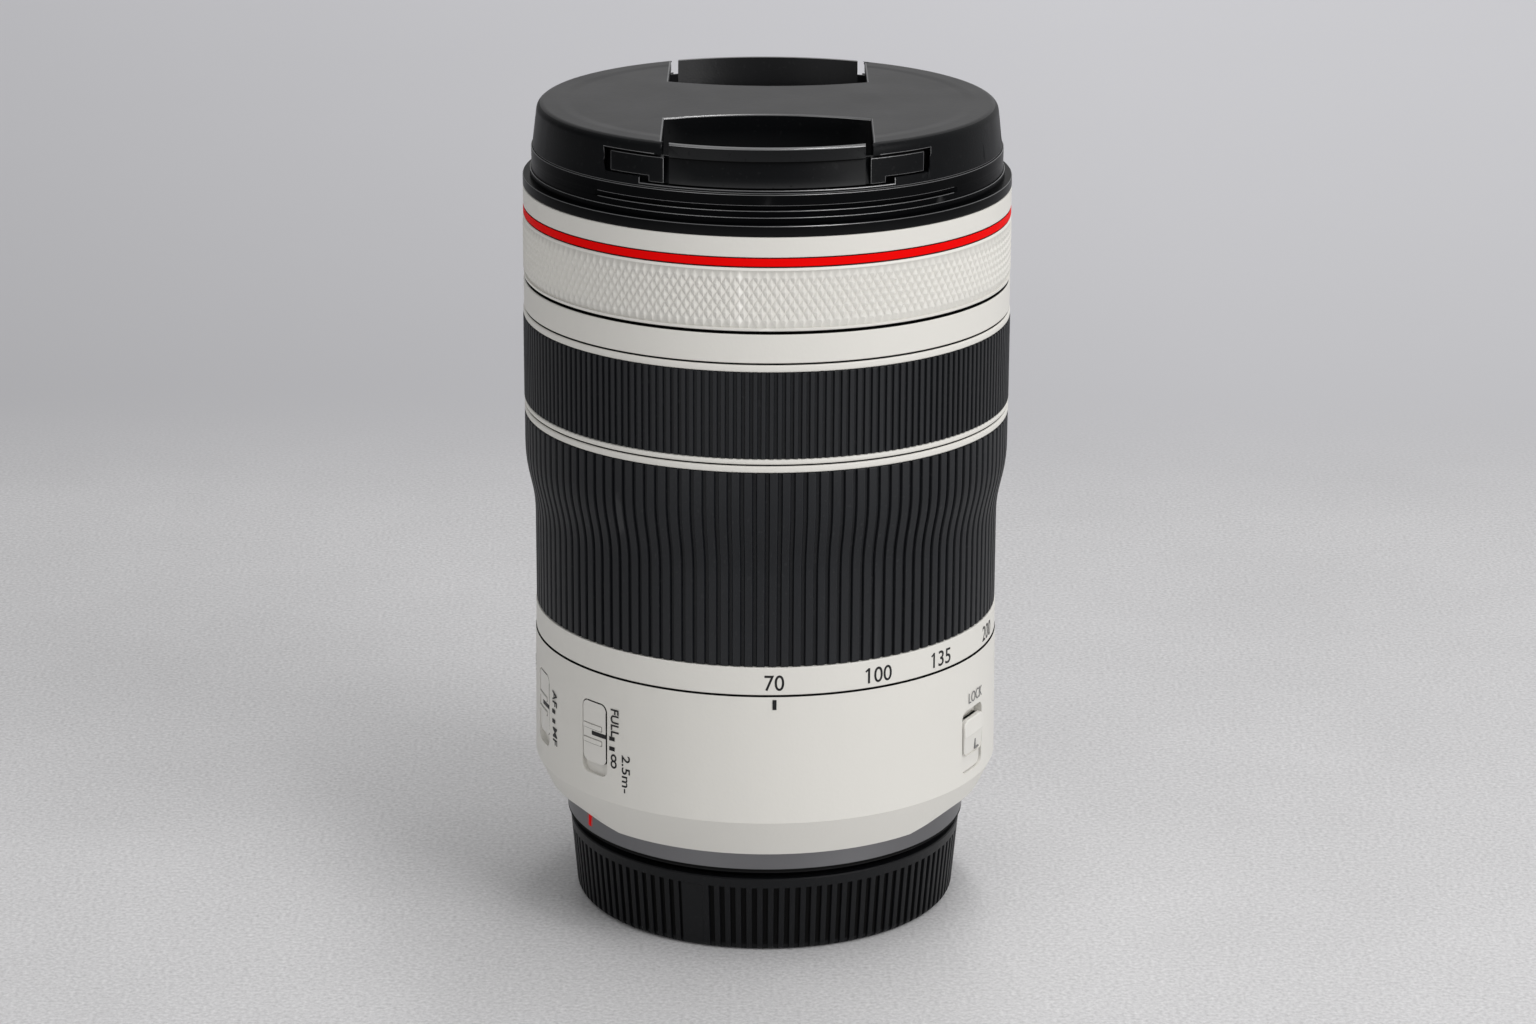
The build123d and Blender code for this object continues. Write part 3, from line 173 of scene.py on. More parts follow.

# Finishes of the lens: colour, roughness, grain, dust specks, and painted light: highlights on edges, shade
# in hollows, seams and steps, and a lighter copy for the lit cap top
finishSizes = {
    "cream_paint": dict(color=(0.745, 0.73, 0.682), rough=0.46, specular=0.4, grain=1500, grainDepth=0.024,
                        drift=0.03, driftScale=45),
    # the knurl's paint: a painted highlight on its crests and painted shade in its hollows
    "knurl_paint": dict(color=(0.745, 0.73, 0.682), rough=0.44, specular=0.45, grain=1500, grainDepth=0.01,
                        drift=0.03, driftScale=45, rub=0.16, hollowShade=0.3),
    "switch_plastic": dict(color=(0.75, 0.735, 0.69), rough=0.4, specular=0.4, grain=2500, grainDepth=0.006,
                           drift=0.03, driftScale=60),
    "red_paint": dict(color=(0.86, 0.0015, 0.0015), rough=0.5, specular=0.03, grain=1500, grainDepth=0.006,
                      drift=0.06, driftScale=60),
    "grip_rubber": dict(color=(0.0065, 0.0075, 0.0095), rough=0.5, specular=0.3, grainDepth=0.02, drift=0.5,
                        driftScale=140, rub=0.02, specks=0.008),
    "seal_rubber": dict(color=(0.004, 0.004, 0.0045), rough=0.6, specular=0.2, grainDepth=0.01,
                        driftScale=120),
    "cap_plastic": dict(color=(0.0022, 0.0026, 0.0032), rough=0.4, specular=0.1, grainDepth=0.014, drift=0.4,
                        rub=0.03, specks=0.004),
    # the cap's top: a glossier copy of the cap plastic, painted lighter where light falls on the top and on
    # the tabs' backs
    "cap_top_lit_plastic": dict(color=(0.005, 0.0052, 0.006), rough=0.34, specular=0.2, grainDepth=0.016,
                            drift=0.4, specks=0.004),
    "front_ring_plastic": dict(color=(0.0012, 0.0014, 0.0018), rough=0.3, specular=0.03, rub=0.03),
    "rear_cap_plastic": dict(color=(0.0045, 0.005, 0.006), rough=0.45, specular=0.22, grainDepth=0.012,
                             drift=0.4, specks=0.003),
    "black_plastic": dict(color=(0.012, 0.012, 0.013), rough=0.5, specular=0.4, grain=2000, grainDepth=0.01),
    "black_metal": dict(color=(0.02, 0.02, 0.021), rough=0.45, specular=0.45, grain=1800, grainDepth=0.006),
    "board_green": dict(color=(0.012, 0.09, 0.035), rough=0.4, specular=0.5, grain=1200, grainDepth=0.01,
                        drift=0.4, driftScale=160),
    # glossy rounded edges painted lighter than the plastic: a painted highlight, together with a stronger
    # real reflection
    "worn_edge": dict(color=(0.02, 0.021, 0.023), rough=0.3, specular=1.0, drift=0.6, driftScale=220,
                      ior=1.9),
    "step_shade": dict(color=(0.3, 0.292, 0.272), rough=0.6, specular=0.2, grain=2500, drift=0.1,
                       driftScale=200),
    "seam_shadow": dict(color=(0.003, 0.003, 0.003), rough=0.7, specular=0.1, grain=2000, driftScale=200),
}
# Inks of the printed marks
inkSizes = {
    "inkBlack": dict(color=(0.008, 0.008, 0.009), rough=0.5, specular=0.3, grain=2500, driftScale=300),
    "inkGrey": dict(color=(0.2, 0.2, 0.2), rough=0.5, specular=0.3, grain=2500, drift=0.15, driftScale=300),
}


def newLook(name):
    material = bpy.data.materials.new(name)
    material.use_nodes = True
    return material, material.node_tree, material.node_tree.nodes["Principled BSDF"].inputs


def lighter(color, gain):
    return (*(min(1.0, channel + gain) for channel in color), 1)


# How far the drift moves a roughness, how much wider specks lie than grain, and where the painted shade in
# hollows begins
paintSizes = dict(roughSpread=0.1, metalSpread=0.14, speckShare=0.6, hollowShadeStart=0.49, hollowShadeGain=-9.0)


def spreadRough(tree, mask, rough, spread):
    return mathNode(tree, "MULTIPLY_ADD", mask, spread, rough - spread / 2)


def paintedFinish(name, color, rough, specular, grain=2600, grainDepth=0.004, drift=0.3, driftScale=90,
                  rub=0.0, specks=0.0, ior=1.5, hollowShade=0.0):
    material, tree, shader = newLook(name)
    shader["Specular IOR Level"].default_value = specular
    shader["IOR"].default_value = ior
    tones = placeGroup(tree, driftGroup, Color=(*color, 1), Scale=driftScale, Amount=drift)
    surface = tones["Color"]
    # a painted highlight: the outer edges are lightened
    if rub:
        surface = mixColors(tree, placeGroup(tree, paintedLightGroup)["Mask"], surface, lighter(color, rub))
    # painted shade: the hollows are darkened
    if hollowShade:
        hollows = placeGroup(tree, paintedLightGroup, Start=paintSizes["hollowShadeStart"], Gain=paintSizes["hollowShadeGain"])
        darker = tuple(channel * (1 - hollowShade) for channel in color)
        surface = mixColors(tree, hollows["Mask"], surface, (*darker, 1))
    if specks:
        dust = placeGroup(tree, speckGroup, Scale=grain * paintSizes["speckShare"])
        surface = mixColors(tree, dust["Mask"], surface, lighter(color, specks))
    tree.links.new(surface, shader["Base Color"])
    tree.links.new(spreadRough(tree, tones["Mask"], rough, paintSizes["roughSpread"]), shader["Roughness"])
    bump = bumpNode(tree, placeGroup(tree, grainGroup, Scale=grain)["Height"], grainDepth)
    tree.links.new(bump.outputs["Normal"], shader["Normal"])
    if name.startswith("cap_top"):
        dishTop(tree, bump)
    return material


# The front cap's top dips a little inside its rim: a step so low that only the light shows it
dishSizes = dict(inner=33.2, outer=35.6, depth=0.12)


def dishTop(tree, bump):
    flat = addNode(tree, "ShaderNodeVectorMath", {0: objectPlace(tree), 1: (1, 1, 0)}, operation="MULTIPLY")
    reach = addNode(tree, "ShaderNodeVectorMath", {0: flat.outputs["Vector"]}, operation="LENGTH")
    step = fadeNode(tree, reach.outputs["Value"], dishSizes["inner"] * mm, dishSizes["outer"] * mm,
                    curve="SMOOTHSTEP")
    tree.links.new(bumpNode(tree, step, dishSizes["depth"]).outputs["Normal"], bump.inputs["Normal"])


for finishName, finish in finishSizes.items():
    finishes[finishName] = paintedFinish(finishName + "_look", **finish)
for finishName, finish in inkSizes.items():
    finishes[finishName] = paintedFinish(finishName, **finish)

metalSizes = {
    "mount_metal": dict(color=(0.2, 0.2, 0.207), rough=0.42, lathe=2600, latheDepth=0.004),
    "bright_steel": dict(color=(0.62, 0.62, 0.61), rough=0.25, lathe=3000, latheDepth=0.002),
    "blade_steel": dict(color=(0.06, 0.06, 0.062), rough=0.45, lathe=2000, latheDepth=0.002),
    "roller_brass": dict(color=(0.7, 0.5, 0.2), rough=0.3, lathe=3000, latheDepth=0.002),
    "contact_gold": dict(color=(0.85, 0.6, 0.2), rough=0.22, lathe=3000, latheDepth=0.001),
}


def turnedMetal(name, color, rough, lathe, latheDepth):
    # metal with the fine rings that a lathe tool leaves
    material, tree, shader = newLook(name)
    shader["Metallic"].default_value = 1.0
    tones = placeGroup(tree, driftGroup, Color=(*color, 1), Scale=70.0, Amount=0.12)
    tree.links.new(tones["Color"], shader["Base Color"])
    tree.links.new(spreadRough(tree, tones["Mask"], rough, paintSizes["metalSpread"]), shader["Roughness"])
    squeeze = addNode(tree, "ShaderNodeMapping", {"Vector": objectPlace(tree), "Scale": (0.02, 0.02, 1.0)})
    marks = noiseNode(tree, squeeze.outputs["Vector"], lathe, 2.0)
    tree.links.new(bumpNode(tree, marks, latheDepth).outputs["Normal"], shader["Normal"])
    return material


for finishName, finish in metalSizes.items():
    finishes[finishName] = turnedMetal(finishName + "_look", **finish)


# Front element, with a coating that tints what it reflects
glassSizes = dict(ior=1.6, color=(0.9, 0.96, 0.97, 1), coating=(0.35, 0.75, 0.6, 1), rough=0.03)


def coatedGlass():
    s = glassSizes
    material, tree, shader = newLook("coated_glass_look")
    shader["Transmission Weight"].default_value = 1.0
    shader["IOR"].default_value = s["ior"]
    shader["Specular Tint"].default_value = s["coating"]
    tones = placeGroup(tree, driftGroup, Color=s["color"], Scale=20.0, Amount=0.04)
    tree.links.new(tones["Color"], shader["Base Color"])
    tree.links.new(mathNode(tree, "MULTIPLY", tones["Mask"], s["rough"]), shader["Roughness"])
    return material


finishes["coated_glass"] = coatedGlass()
print("finishes made:", len(finishes))


# Mesh helpers

def makePiece(name, bm, body, slot, replaces=(), finish=None, sharpAngle=32, soften=0.0, second=()):
    # second names the finishes that follow the first one, and faces choose them by their index
    bmesh.ops.remove_doubles(bm, verts=bm.verts, dist=weld)
    bmesh.ops.recalc_face_normals(bm, faces=bm.faces)
    limit = math.radians(sharpAngle)
    for face in bm.faces:
        face.smooth = True
    for edge in bm.edges:
        edge.smooth = len(edge.link_faces) == 2 and edge.calc_face_angle(0) < limit
    mesh = bpy.data.meshes.new(name)
    bm.to_mesh(mesh)
    bm.free()
    for look in (finish or slot, *([second] if isinstance(second, str) else second)):
        mesh.materials.append(finishes[look])
    piece = bpy.data.objects.new(name, mesh)
    scene.collection.objects.link(piece)
    if soften:
        edges = piece.modifiers.new("softEdges", "BEVEL")
        edges.width = soften * mm
        edges.segments = 2
        edges.limit_method = "ANGLE"
        edges.angle_limit = limit
        edges.use_clamp_overlap = True
    normals = piece.modifiers.new("flatNormals", "WEIGHTED_NORMAL")
    normals.keep_sharp = True
    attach(piece, body)
    if replaces:
        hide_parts(*replaces)
    return piece


def cadCopy(node, body, slot, soften=0.0, sharpAngle=32, reshape=None, second=()):
    bm = bmesh.new()
    bm.from_mesh(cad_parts[node].data)
    bmesh.ops.remove_doubles(bm, verts=bm.verts, dist=weld / 2)
    bmesh.ops.dissolve_limit(bm, angle_limit=math.radians(flatTurn), verts=bm.verts, edges=bm.edges)
    if reshape:
        reshape(bm)
    return makePiece(node + "_shell", bm, body, slot, [node], None, sharpAngle, soften, second)


def addMesh(bm, other):
    spare = bpy.data.meshes.new("spare")
    other.to_mesh(spare)
    other.free()
    bm.from_mesh(spare)
    bpy.data.meshes.remove(spare)


def turnMesh(bm, angle):
    bmesh.ops.rotate(bm, verts=bm.verts, cent=(0, 0, 0), matrix=Matrix.Rotation(math.radians(angle), 3, "Z"))


def cutMesh(bm, place, normal):
    # adds edges where a plane crosses the mesh
    bmesh.ops.bisect_plane(bm, geom=bm.verts[:] + bm.edges[:] + bm.faces[:], plane_co=place, plane_no=normal)


def spinMesh(bm, geom, angle, steps, **settings):
    return bmesh.ops.spin(bm, geom=geom, cent=(0, 0, 0), axis=(0, 0, 1), angle=math.radians(angle),
                          steps=steps, **settings)["geom_last"]


def bevelMesh(bm, found, offset, segments=3, affect="EDGES", clamp=True):
    return bmesh.ops.bevel(bm, geom=found, offset=offset, offset_type="OFFSET", segments=segments,
                           profile=0.5, affect=affect, material=-1, clamp_overlap=clamp)["faces"]


def faceHeights(face):
    return [lensPlace(vert.co)[2] for vert in face.verts]


def facePlace(face):
    return lensPlace(face.calc_center_median())


def closedWire(bm, places):
    verts = [bm.verts.new(onLens(radius, 0, height)) for radius, height in places]
    edges = [bm.edges.new((verts[index - 1], verts[index])) for index in range(len(verts))]
    return verts + edges


def roundCircles(bm, corners):
    # rounds the circular edges that lie on the given corners of a turned outline
    for radius, height, width in corners:
        found = []
        for edge in bm.edges:
            ends = [lensPlace(vert.co) for vert in edge.verts]
            if all(abs(end[0] - radius) < close and abs(end[2] - height) < close for end in ends):
                found.append(edge)
        bevelMesh(bm, found, width * mm)


def turned(outline):
    # outline holds radius, height and, where an edge is rounded, the width of that rounding
    # the lowest and highest end faces take the second finish, the shadow in a seam
    bm = bmesh.new()
    wire = closedWire(bm, [point[:2] for point in outline])
    spinMesh(bm, wire, 360, turnSteps, use_merge=True, use_duplicate=False)
    bmesh.ops.remove_doubles(bm, verts=bm.verts, dist=weld)
    roundCircles(bm, [point for point in outline if len(point) > 2])
    shadeEnds(bm, min(point[1] for point in outline), max(point[1] for point in outline))
    return bm


def shadeEnds(bm, *ends):
    for face in bm.faces:
        heights = faceHeights(face)
        if any(max(heights) - end < close and end - min(heights) < close for end in ends):
            face.material_index = 1


def ribSector(outline, columns, pitch, start=0.0):
    # outline holds radius, height and the crest radius on the ribbed side, or None inside
    # columns holds each column's place in the pitch and its depth under the crest
    bm = bmesh.new()
    strip = closedWire(bm, [point[:2] for point in outline])
    places = [place for place, depth in columns] + [1.0]
    for here, following in zip(places, places[1:]):
        strip = spinMesh(bm, strip, (following - here) * pitch, 1)
    crests = [point for point in outline if point[2] is not None]
    for vert in bm.verts:
        radius, angle, height = lensPlace(vert.co)
        share = angle / pitch % 1.0 if abs(angle / pitch - 1.0) > 0.01 else 0.0
        depth = min(columns, key=lambda column: abs(column[0] - share))[1]
        match = [crest for r, h, crest in crests if abs(h - height) < close and abs(r - radius) < close]
        if match and radius > match[0] - depth:
            vert.co = onLens(match[0] - depth, angle, height)
    turnMesh(bm, start)
    return bm


def repeatRound(bm, count, pitch):
    spinMesh(bm, bm.verts[:] + bm.edges[:] + bm.faces[:], (count - 1) * pitch, count - 1, use_duplicate=True)
    bmesh.ops.remove_doubles(bm, verts=bm.verts, dist=weld)


# The waist of the zoom ring swells out to the front rim along an S curve
swellSizes = dict(low=54.3, top=67.3, pull=0.45, steps=12)


def swellPath(lowRadius, topRadius):
    s = swellSizes
    pulled = s["pull"] * (s["top"] - s["low"])
    heights = (s["low"], s["low"] + pulled, s["top"] - pulled, s["top"])
    path = []
    for step in range(s["steps"] + 1):
        t = step / s["steps"]
        shares = ((1 - t) ** 3, 3 * t * (1 - t) ** 2, 3 * t * t * (1 - t), t ** 3)
        radius = (shares[0] + shares[1]) * lowRadius + (shares[2] + shares[3]) * topRadius
        path.append((radius, sum(share * height for share, height in zip(shares, heights))))
    return path


# Zoom ring: scale band, waist under the rubber, and front rim
zoomSizes = dict(bore=38.75, core=39.2, front=41.75, shoulder=40.85, band=40.2, bandLow=33.7,
                 rubberLow=38.55, rubberTop=72.8, top=73.95, edge=0.16, rimEdge=0.3)


def zoomRing(bore, core, front, shoulder, band, bandLow, rubberLow, rubberTop, top, edge, rimEdge):
    return turned([(bore, bandLow), (band, bandLow, edge), (band, rubberLow, edge), (core, rubberLow),
                   *swellPath(core, shoulder), (shoulder, rubberTop), (front, rubberTop, rimEdge),
                   (front, top, rimEdge), (bore, top)])


# Ribbed rubber of the zoom ring: each rib has a flat crest, rounded shoulders and a narrow groove
zoomRubberSizes = dict(inner=39.25, shoulderInner=40.9, waist=40.1, front=41.75, low=38.6, top=72.75,
                       ribs=124, depth=0.55, endDrop=0.3, endLength=0.3, grooveShare=0.24, shoulderShare=0.09)
# How far a rib's rounding has come at its middle points, as shares of its depth and of its length
ribShares = dict(knee=0.35, toe=0.04, reach=1.8, endRound=0.3)


def endRounding(radius, height, inward, drop, length):
    # three points that round a rib's end, from the end face inwards
    share = ribShares["endRound"]
    return [
        (radius - drop, height, radius),
        (radius - share * drop, height + share * inward * length, radius),
        (radius, height + inward * length, radius),
    ]


def ribColumns(depth, groove, shoulder):
    # groove and shoulder are shares of the pitch, and a rib is the same seen from its other side
    knee, toe, reach = ribShares["knee"] * depth, ribShares["toe"] * depth, ribShares["reach"] * shoulder
    return [(0.0, depth), (groove, depth), (groove + shoulder / 2, knee), (groove + shoulder, toe),
            (groove + reach, 0.0), (1 - reach, 0.0), (1 - shoulder, toe), (1 - shoulder / 2, knee)]


def ribbedRubber(s, low, path, top, inside):
    # low and top are the radii at the ends, path runs up the ribbed side and inside up the bore
    outline = [(s["inner"], s["low"], None)]
    outline += endRounding(low, s["low"], 1, s["endDrop"], s["endLength"])
    outline += [(radius, height, radius) for radius, height in path]
    outline += endRounding(top, s["top"], -1, s["endDrop"], s["endLength"])[::-1]
    outline += [(radius, height, None) for radius, height in inside[::-1]]
    pitch = 360 / s["ribs"]
    bm = ribSector(outline, ribColumns(s["depth"], s["grooveShare"], s["shoulderShare"]), pitch)
    repeatRound(bm, s["ribs"], pitch)
    return bm


def zoomRubber():
    s = zoomRubberSizes
    inside = swellPath(s["inner"], s["shoulderInner"]) + [(s["shoulderInner"], s["top"])]
    return ribbedRubber(s, s["waist"], swellPath(s["waist"], s["front"]), s["front"], inside)


makePiece("zoom_ring_core", zoomRing(**zoomSizes), "zoom_control", "cream_paint", ["zoom_ring"],
          second="seam_shadow")
makePiece("zoom_ring_rubber", zoomRubber(), "zoom_control", "grip_rubber", ["zoom_grip"], sharpAngle=40)
print("zoom ring done")

# Focus ring: a cream core with two thin rims, and its finer ribbed rubber
focusSizes = dict(bore=39.95, core=40.75, rim=41.75, low=74.2, rubberLow=75.1, rubberTop=89.85, top=91.05,
                  edge=0.28)
focusRubberSizes = dict(inner=40.8, radius=41.8, low=75.15, top=89.8, ribs=196, depth=0.42, endDrop=0.25,
                        endLength=0.25, grooveShare=0.34, shoulderShare=0.1)


def focusRing(bore, core, rim, low, rubberLow, rubberTop, top, edge):
    return turned([(bore, low), (rim, low, edge), (rim, rubberLow, edge), (core, rubberLow),
                   (core, rubberTop), (rim, rubberTop, edge), (rim, top, edge), (bore, top)])


def focusRubber():
    s = focusRubberSizes
    return ribbedRubber(s, s["radius"], [], s["radius"], [(s["inner"], s["top"])])


makePiece("focus_ring_core", focusRing(**focusSizes), "focus_control", "cream_paint", ["focus_ring"],
          second="seam_shadow")
makePiece("focus_ring_rubber", focusRubber(), "focus_control", "grip_rubber", ["focus_grip"], sharpAngle=40)
print("focus ring done")

# Plain bands: the fixed one between the focus ring and the control ring, the red ring and the head's barrel
bandSizes = dict(bore=39.85, radius=41.65, low=91.34, top=96.17, edge=0.22)
redSizes = dict(bore=39.95, radius=41.6, low=107.5, top=108.82, edge=0.08)
headSizes = dict(bore=39.95, radius=41.6, low=108.96, top=112.33, edge=0.22)


def plainBand(bore, radius, low, top, edge):
    return turned([(bore, low), (radius, low, edge), (radius, top, edge), (bore, top)])


makePiece("center_band_shell", plainBand(**bandSizes), "barrel", "cream_paint", ["center_band"],
          second="seam_shadow")

# Control ring with a diamond knurl: small pyramids between crossed helical grooves
knurlSizes = dict(bore=39.95, pocket=41.1, pocketLow=106.0, rim=41.62, low=96.7, top=107.27, rimHeight=0.5,
                  crest=41.82, valley=41.26, starts=175, rows=8, tip=0.26, edge=0.15, step=0.02)


def controlRing():
    s = knurlSizes
    pitch = 360 / s["starts"]
    knurlLow, knurlTop = s["low"] + s["rimHeight"], s["top"] - s["rimHeight"]
    rowHeight = (knurlTop - knurlLow) / s["rows"]
    edge = s["rim"] - s["edge"]
    outline = [(s["bore"], s["low"]), (edge, s["low"]), (s["rim"], s["low"] + s["edge"])]
    outline += [(s["rim"], knurlLow - s["step"])]
    outline += [(s["valley"], knurlLow + rowHeight * row) for row in range(s["rows"] + 1)]
    outline += [(s["rim"], knurlTop + s["step"]), (s["rim"], s["top"] - s["edge"]), (edge, s["top"])]
    outline += [(s["pocket"], s["top"]), (s["pocket"], s["pocketLow"]), (s["bore"], s["pocketLow"])]
    bm = bmesh.new()
    spinMesh(bm, closedWire(bm, outline), pitch, 2, use_duplicate=False)
    valleys = []
    for vert in bm.verts:
        radius, angle, height = lensPlace(vert.co)
        if abs(radius - s["valley"]) > close:
            continue
        row, column = round((height - knurlLow) / rowHeight), round(2 * angle / pitch)
        if (row + column) % 2 and 0 < row < s["rows"]:
            vert.co = onLens(s["crest"], angle, height)
        else:
            valleys.append(vert)
    bmesh.ops.connect_verts(bm, verts=valleys)
    repeatRound(bm, s["starts"], pitch)
    tips = [vert for vert in bm.verts if lensPlace(vert.co)[0] > s["crest"] - close]
    bevelMesh(bm, tips, s["tip"] * mm, 1, "VERTICES")
    shadeEnds(bm, s["low"], s["top"])
    return bm


makePiece("control_ring_knurled", controlRing(), "function_control", "cream_paint", ["control_ring"],
          finish="knurl_paint", sharpAngle=60, second="seam_shadow")
print("control ring done")

makePiece("red_ring_shell", plainBand(**redSizes), "head", "red_paint", ["red_ring"], second="seam_shadow")
makePiece("head_barrel_shell", plainBand(**headSizes), "head", "cream_paint", ["head_barrel"],
          second="seam_shadow")

# The scalloped foot: its notches reach a little further round and up the bevel than the solid's
footSizes = dict(notch=5.4, radius=37.91, bevel=36.9, deeper=1.7, rise=0.8, low=6.0, middle=79,
                 barrelTop=33.4)
# Angles from a notch's middle on the solid, and the ones that they move to
footTurns = ((0, 0), (20, 28.5), (30, 36), (45, 45), (180, 180))
# Windows of the switches and of the lock: the solid's box, and how far they stretch
windowSizes = dict(low=15.0, top=27.4, newTop=28.2, spread=4.6, stretch=1.05)
lockWindowSizes = dict(low=12.5, top=24.3, angle=62, spread=5.3, side=56.95, stretch=1.12)
switchAngles = {"focus_limit": -46, "focus_mode": -72, "stabilizer": -98, "stabilizer_mode": -124}


def notchTurn(angle):
    # stretches the notch round the foot: angles are counted from the notch's middle
    side = math.copysign(1, angle)
    away = abs(angle) - footSizes["middle"]
    for (start, newStart), (end, newEnd) in zip(footTurns, footTurns[1:]):
        if start <= abs(away) <= end:
            moved = newStart + (abs(away) - start) * (newEnd - newStart) / (end - start)
            return side * (footSizes["middle"] + math.copysign(moved, away))
    return angle


def shapeFoot(bm):
    s, w, lock = footSizes, windowSizes, lockWindowSizes
    for vert in bm.verts:
        radius, angle, height = lensPlace(vert.co)
        if height < s["low"] and radius < s["radius"] + 0.3:
            lift = s["deeper"] if abs(height - s["notch"]) < close else 0.0
            outer = s["rise"] if lift and abs(radius - s["radius"]) < 5 * close else 0.0
            if radius > s["bevel"] or lift:
                vert.co = onLens(radius + outer, notchTurn(angle), height + lift)
        for middle in switchAngles.values():
            if abs(angle - middle) < w["spread"] and w["low"] - 0.1 < height < w["top"] + 0.1:
                share = (height - w["low"]) / (w["top"] - w["low"])
                vert.co = onLens(radius, middle + (angle - middle) * w["stretch"],
                                 w["low"] + share * (w["newTop"] - w["low"]))
        if abs(angle - lock["angle"]) < lock["spread"] and lock["low"] < height < lock["top"]:
            vert.co = onLens(radius, lock["side"] + (angle - lock["side"]) * lock["stretch"], height)
    shadeEnds(bm, s["barrelTop"])


cadCopy("rear_barrel", "barrel", "cream_paint", 0.14, 14, shapeFoot, "seam_shadow")

# Front ring: flange, then a neck whose groove for the hood runs along two arcs
hoodSizes = dict(bore=38.5, flange=41.6, flangeTop=114.2, flangeEdge=0.24, chamfer=0.1, chamferHeight=0.12,
                 step=0.25, stepTop=115.3, neck=40.1, low=112.45, top=119.0, edge=0.11)
grooveSizes = dict(low=116.35, top=117.15, depth=0.7, centres=(3, 183), half=46.5, runOut=1.3, bareFrom=0.6,
                   filled=0.02, margin=0.3)


def hoodRing():
    s, g = hoodSizes, grooveSizes
    floor = s["neck"] - g["depth"]
    shallow = s["neck"] - g["filled"]
    bm = turned([
        (s["bore"], s["low"]), (s["flange"] - s["chamfer"], s["low"]),
        (s["flange"], s["low"] + s["chamferHeight"]), (s["flange"], s["flangeTop"], s["flangeEdge"]),
        (s["neck"] + s["step"], s["flangeTop"]), (s["neck"] + s["step"], s["stepTop"], s["edge"]),
        (s["neck"], s["stepTop"]), (s["neck"], g["low"], s["edge"]), (floor, g["low"]), (floor, g["top"]),
        (s["neck"], g["top"], s["edge"]), (s["neck"], s["top"], s["edge"]), (s["bore"], s["top"]),
    ])
    for vert in bm.verts:
        radius, angle, height = lensPlace(vert.co)
        fill = min(1.0, max(0.0, (fromGroove(angle) - g["half"]) / g["runOut"]))
        if abs(radius - floor) < close:
            vert.co = onLens(floor + fill * (shallow - floor), angle, height)
        elif g["low"] - g["margin"] < height < g["top"] + g["margin"] and radius < shallow:
            vert.co = onLens(radius + fill * (shallow - radius), angle, height)
    for face in bm.faces:
        paintEdgeHighlight(face)
    return bm


def fromGroove(angle):
    # degrees from the middle of the nearer groove
    return min(abs((angle - centre + 180) % 360 - 180) for centre in grooveSizes["centres"])


def paintEdgeHighlight(face):
    # the small faces that round the neck's edges take the painted edge highlight, apart from where there is
    # no groove
    s, g = hoodSizes, grooveSizes
    heights = faceHeights(face)
    radii = [lensPlace(vert.co)[0] for vert in face.verts]
    away = fromGroove(facePlace(face)[1])
    if away > g["half"] + g["bareFrom"] and s["stepTop"] + 0.4 < max(heights) < s["top"] - 0.5:
        return
    small = max(heights) - min(heights) < s["edge"] and max(radii) - min(radii) < s["edge"]
    face.material_index = 1 if small and min(radii) > s["neck"] - 0.2 else 0


makePiece("hood_mount_ring_shell", hoodRing(), "head", "front_ring_plastic", ["hood_mount_ring"],
          sharpAngle=25, second="worn_edge")

# Front cap: the solid's shape with taller wing windows and rounded edges, and pinch tabs of their own
capSizes = dict(low=119.05, top=126.4, foot=39.9, taper=0.9, windowSide=26.3, newWindowSide=26.6,
                windowLow=121.1, drop=0.5, recessSide=16.9, newRecessSide=17.15, recessEdge=0.3,
                outerEdge=0.16, rim=38.2, barTop=124.7)


def capRadius(height, sink=0.0):
    s = capSizes
    return s["foot"] - sink - s["taper"] * (height - s["low"]) / (s["top"] - s["low"])


def roundWhere(bm, belongs, width, color):
    # rounds the sharp edges whose ends all pass the test, and gives the rounding its own finish
    found = [edge for edge in bm.edges if len(edge.link_faces) == 2 and edge.calc_face_angle(0) > sharpTurn
             and all(belongs(*lensPlace(vert.co)) for vert in edge.verts)]
    for face in bevelMesh(bm, found, width * mm, clamp=False):
        face.material_index = color


def shapeCapBody(bm):
    s = capSizes
    for vert in bm.verts:
        radius, angle, height = lensPlace(vert.co)
        across = abs(vert.co.x) / mm
        if abs(across - s["windowSide"]) < close and s["windowLow"] - 0.1 < height < s["barTop"] - 0.1:
            vert.co.x = math.copysign(s["newWindowSide"] * mm, vert.co.x)
            vert.co.y = math.copysign(mm * math.sqrt(radius ** 2 - s["newWindowSide"] ** 2), vert.co.y)
        if abs(across - s["recessSide"]) < close and height > s["low"] + 0.45:
            vert.co.x = math.copysign(s["newRecessSide"] * mm, vert.co.x)
        if abs(height - s["windowLow"]) < 1.5 * close:
            vert.co.z -= s["drop"] * mm
    bm.normal_update()
    # faces on the top take the lighter cap top finish, painted light, and the rounded edges take the painted
    # edge highlight
    for face in bm.faces:
        if face.normal.z > 0.5 and min(faceHeights(face)) > s["top"] - 0.35:
            face.material_index = 2
    onTop = lambda radius, angle, height: height > s["top"] - 2 * close and radius < s["rim"]
    onSide = lambda radius, angle, height: (height < s["barTop"]
                                            and abs(radius - capRadius(height)) < 4 * close)
    roundWhere(bm, onTop, s["recessEdge"], 1)
    roundWhere(bm, onSide, s["outerEdge"], 1)


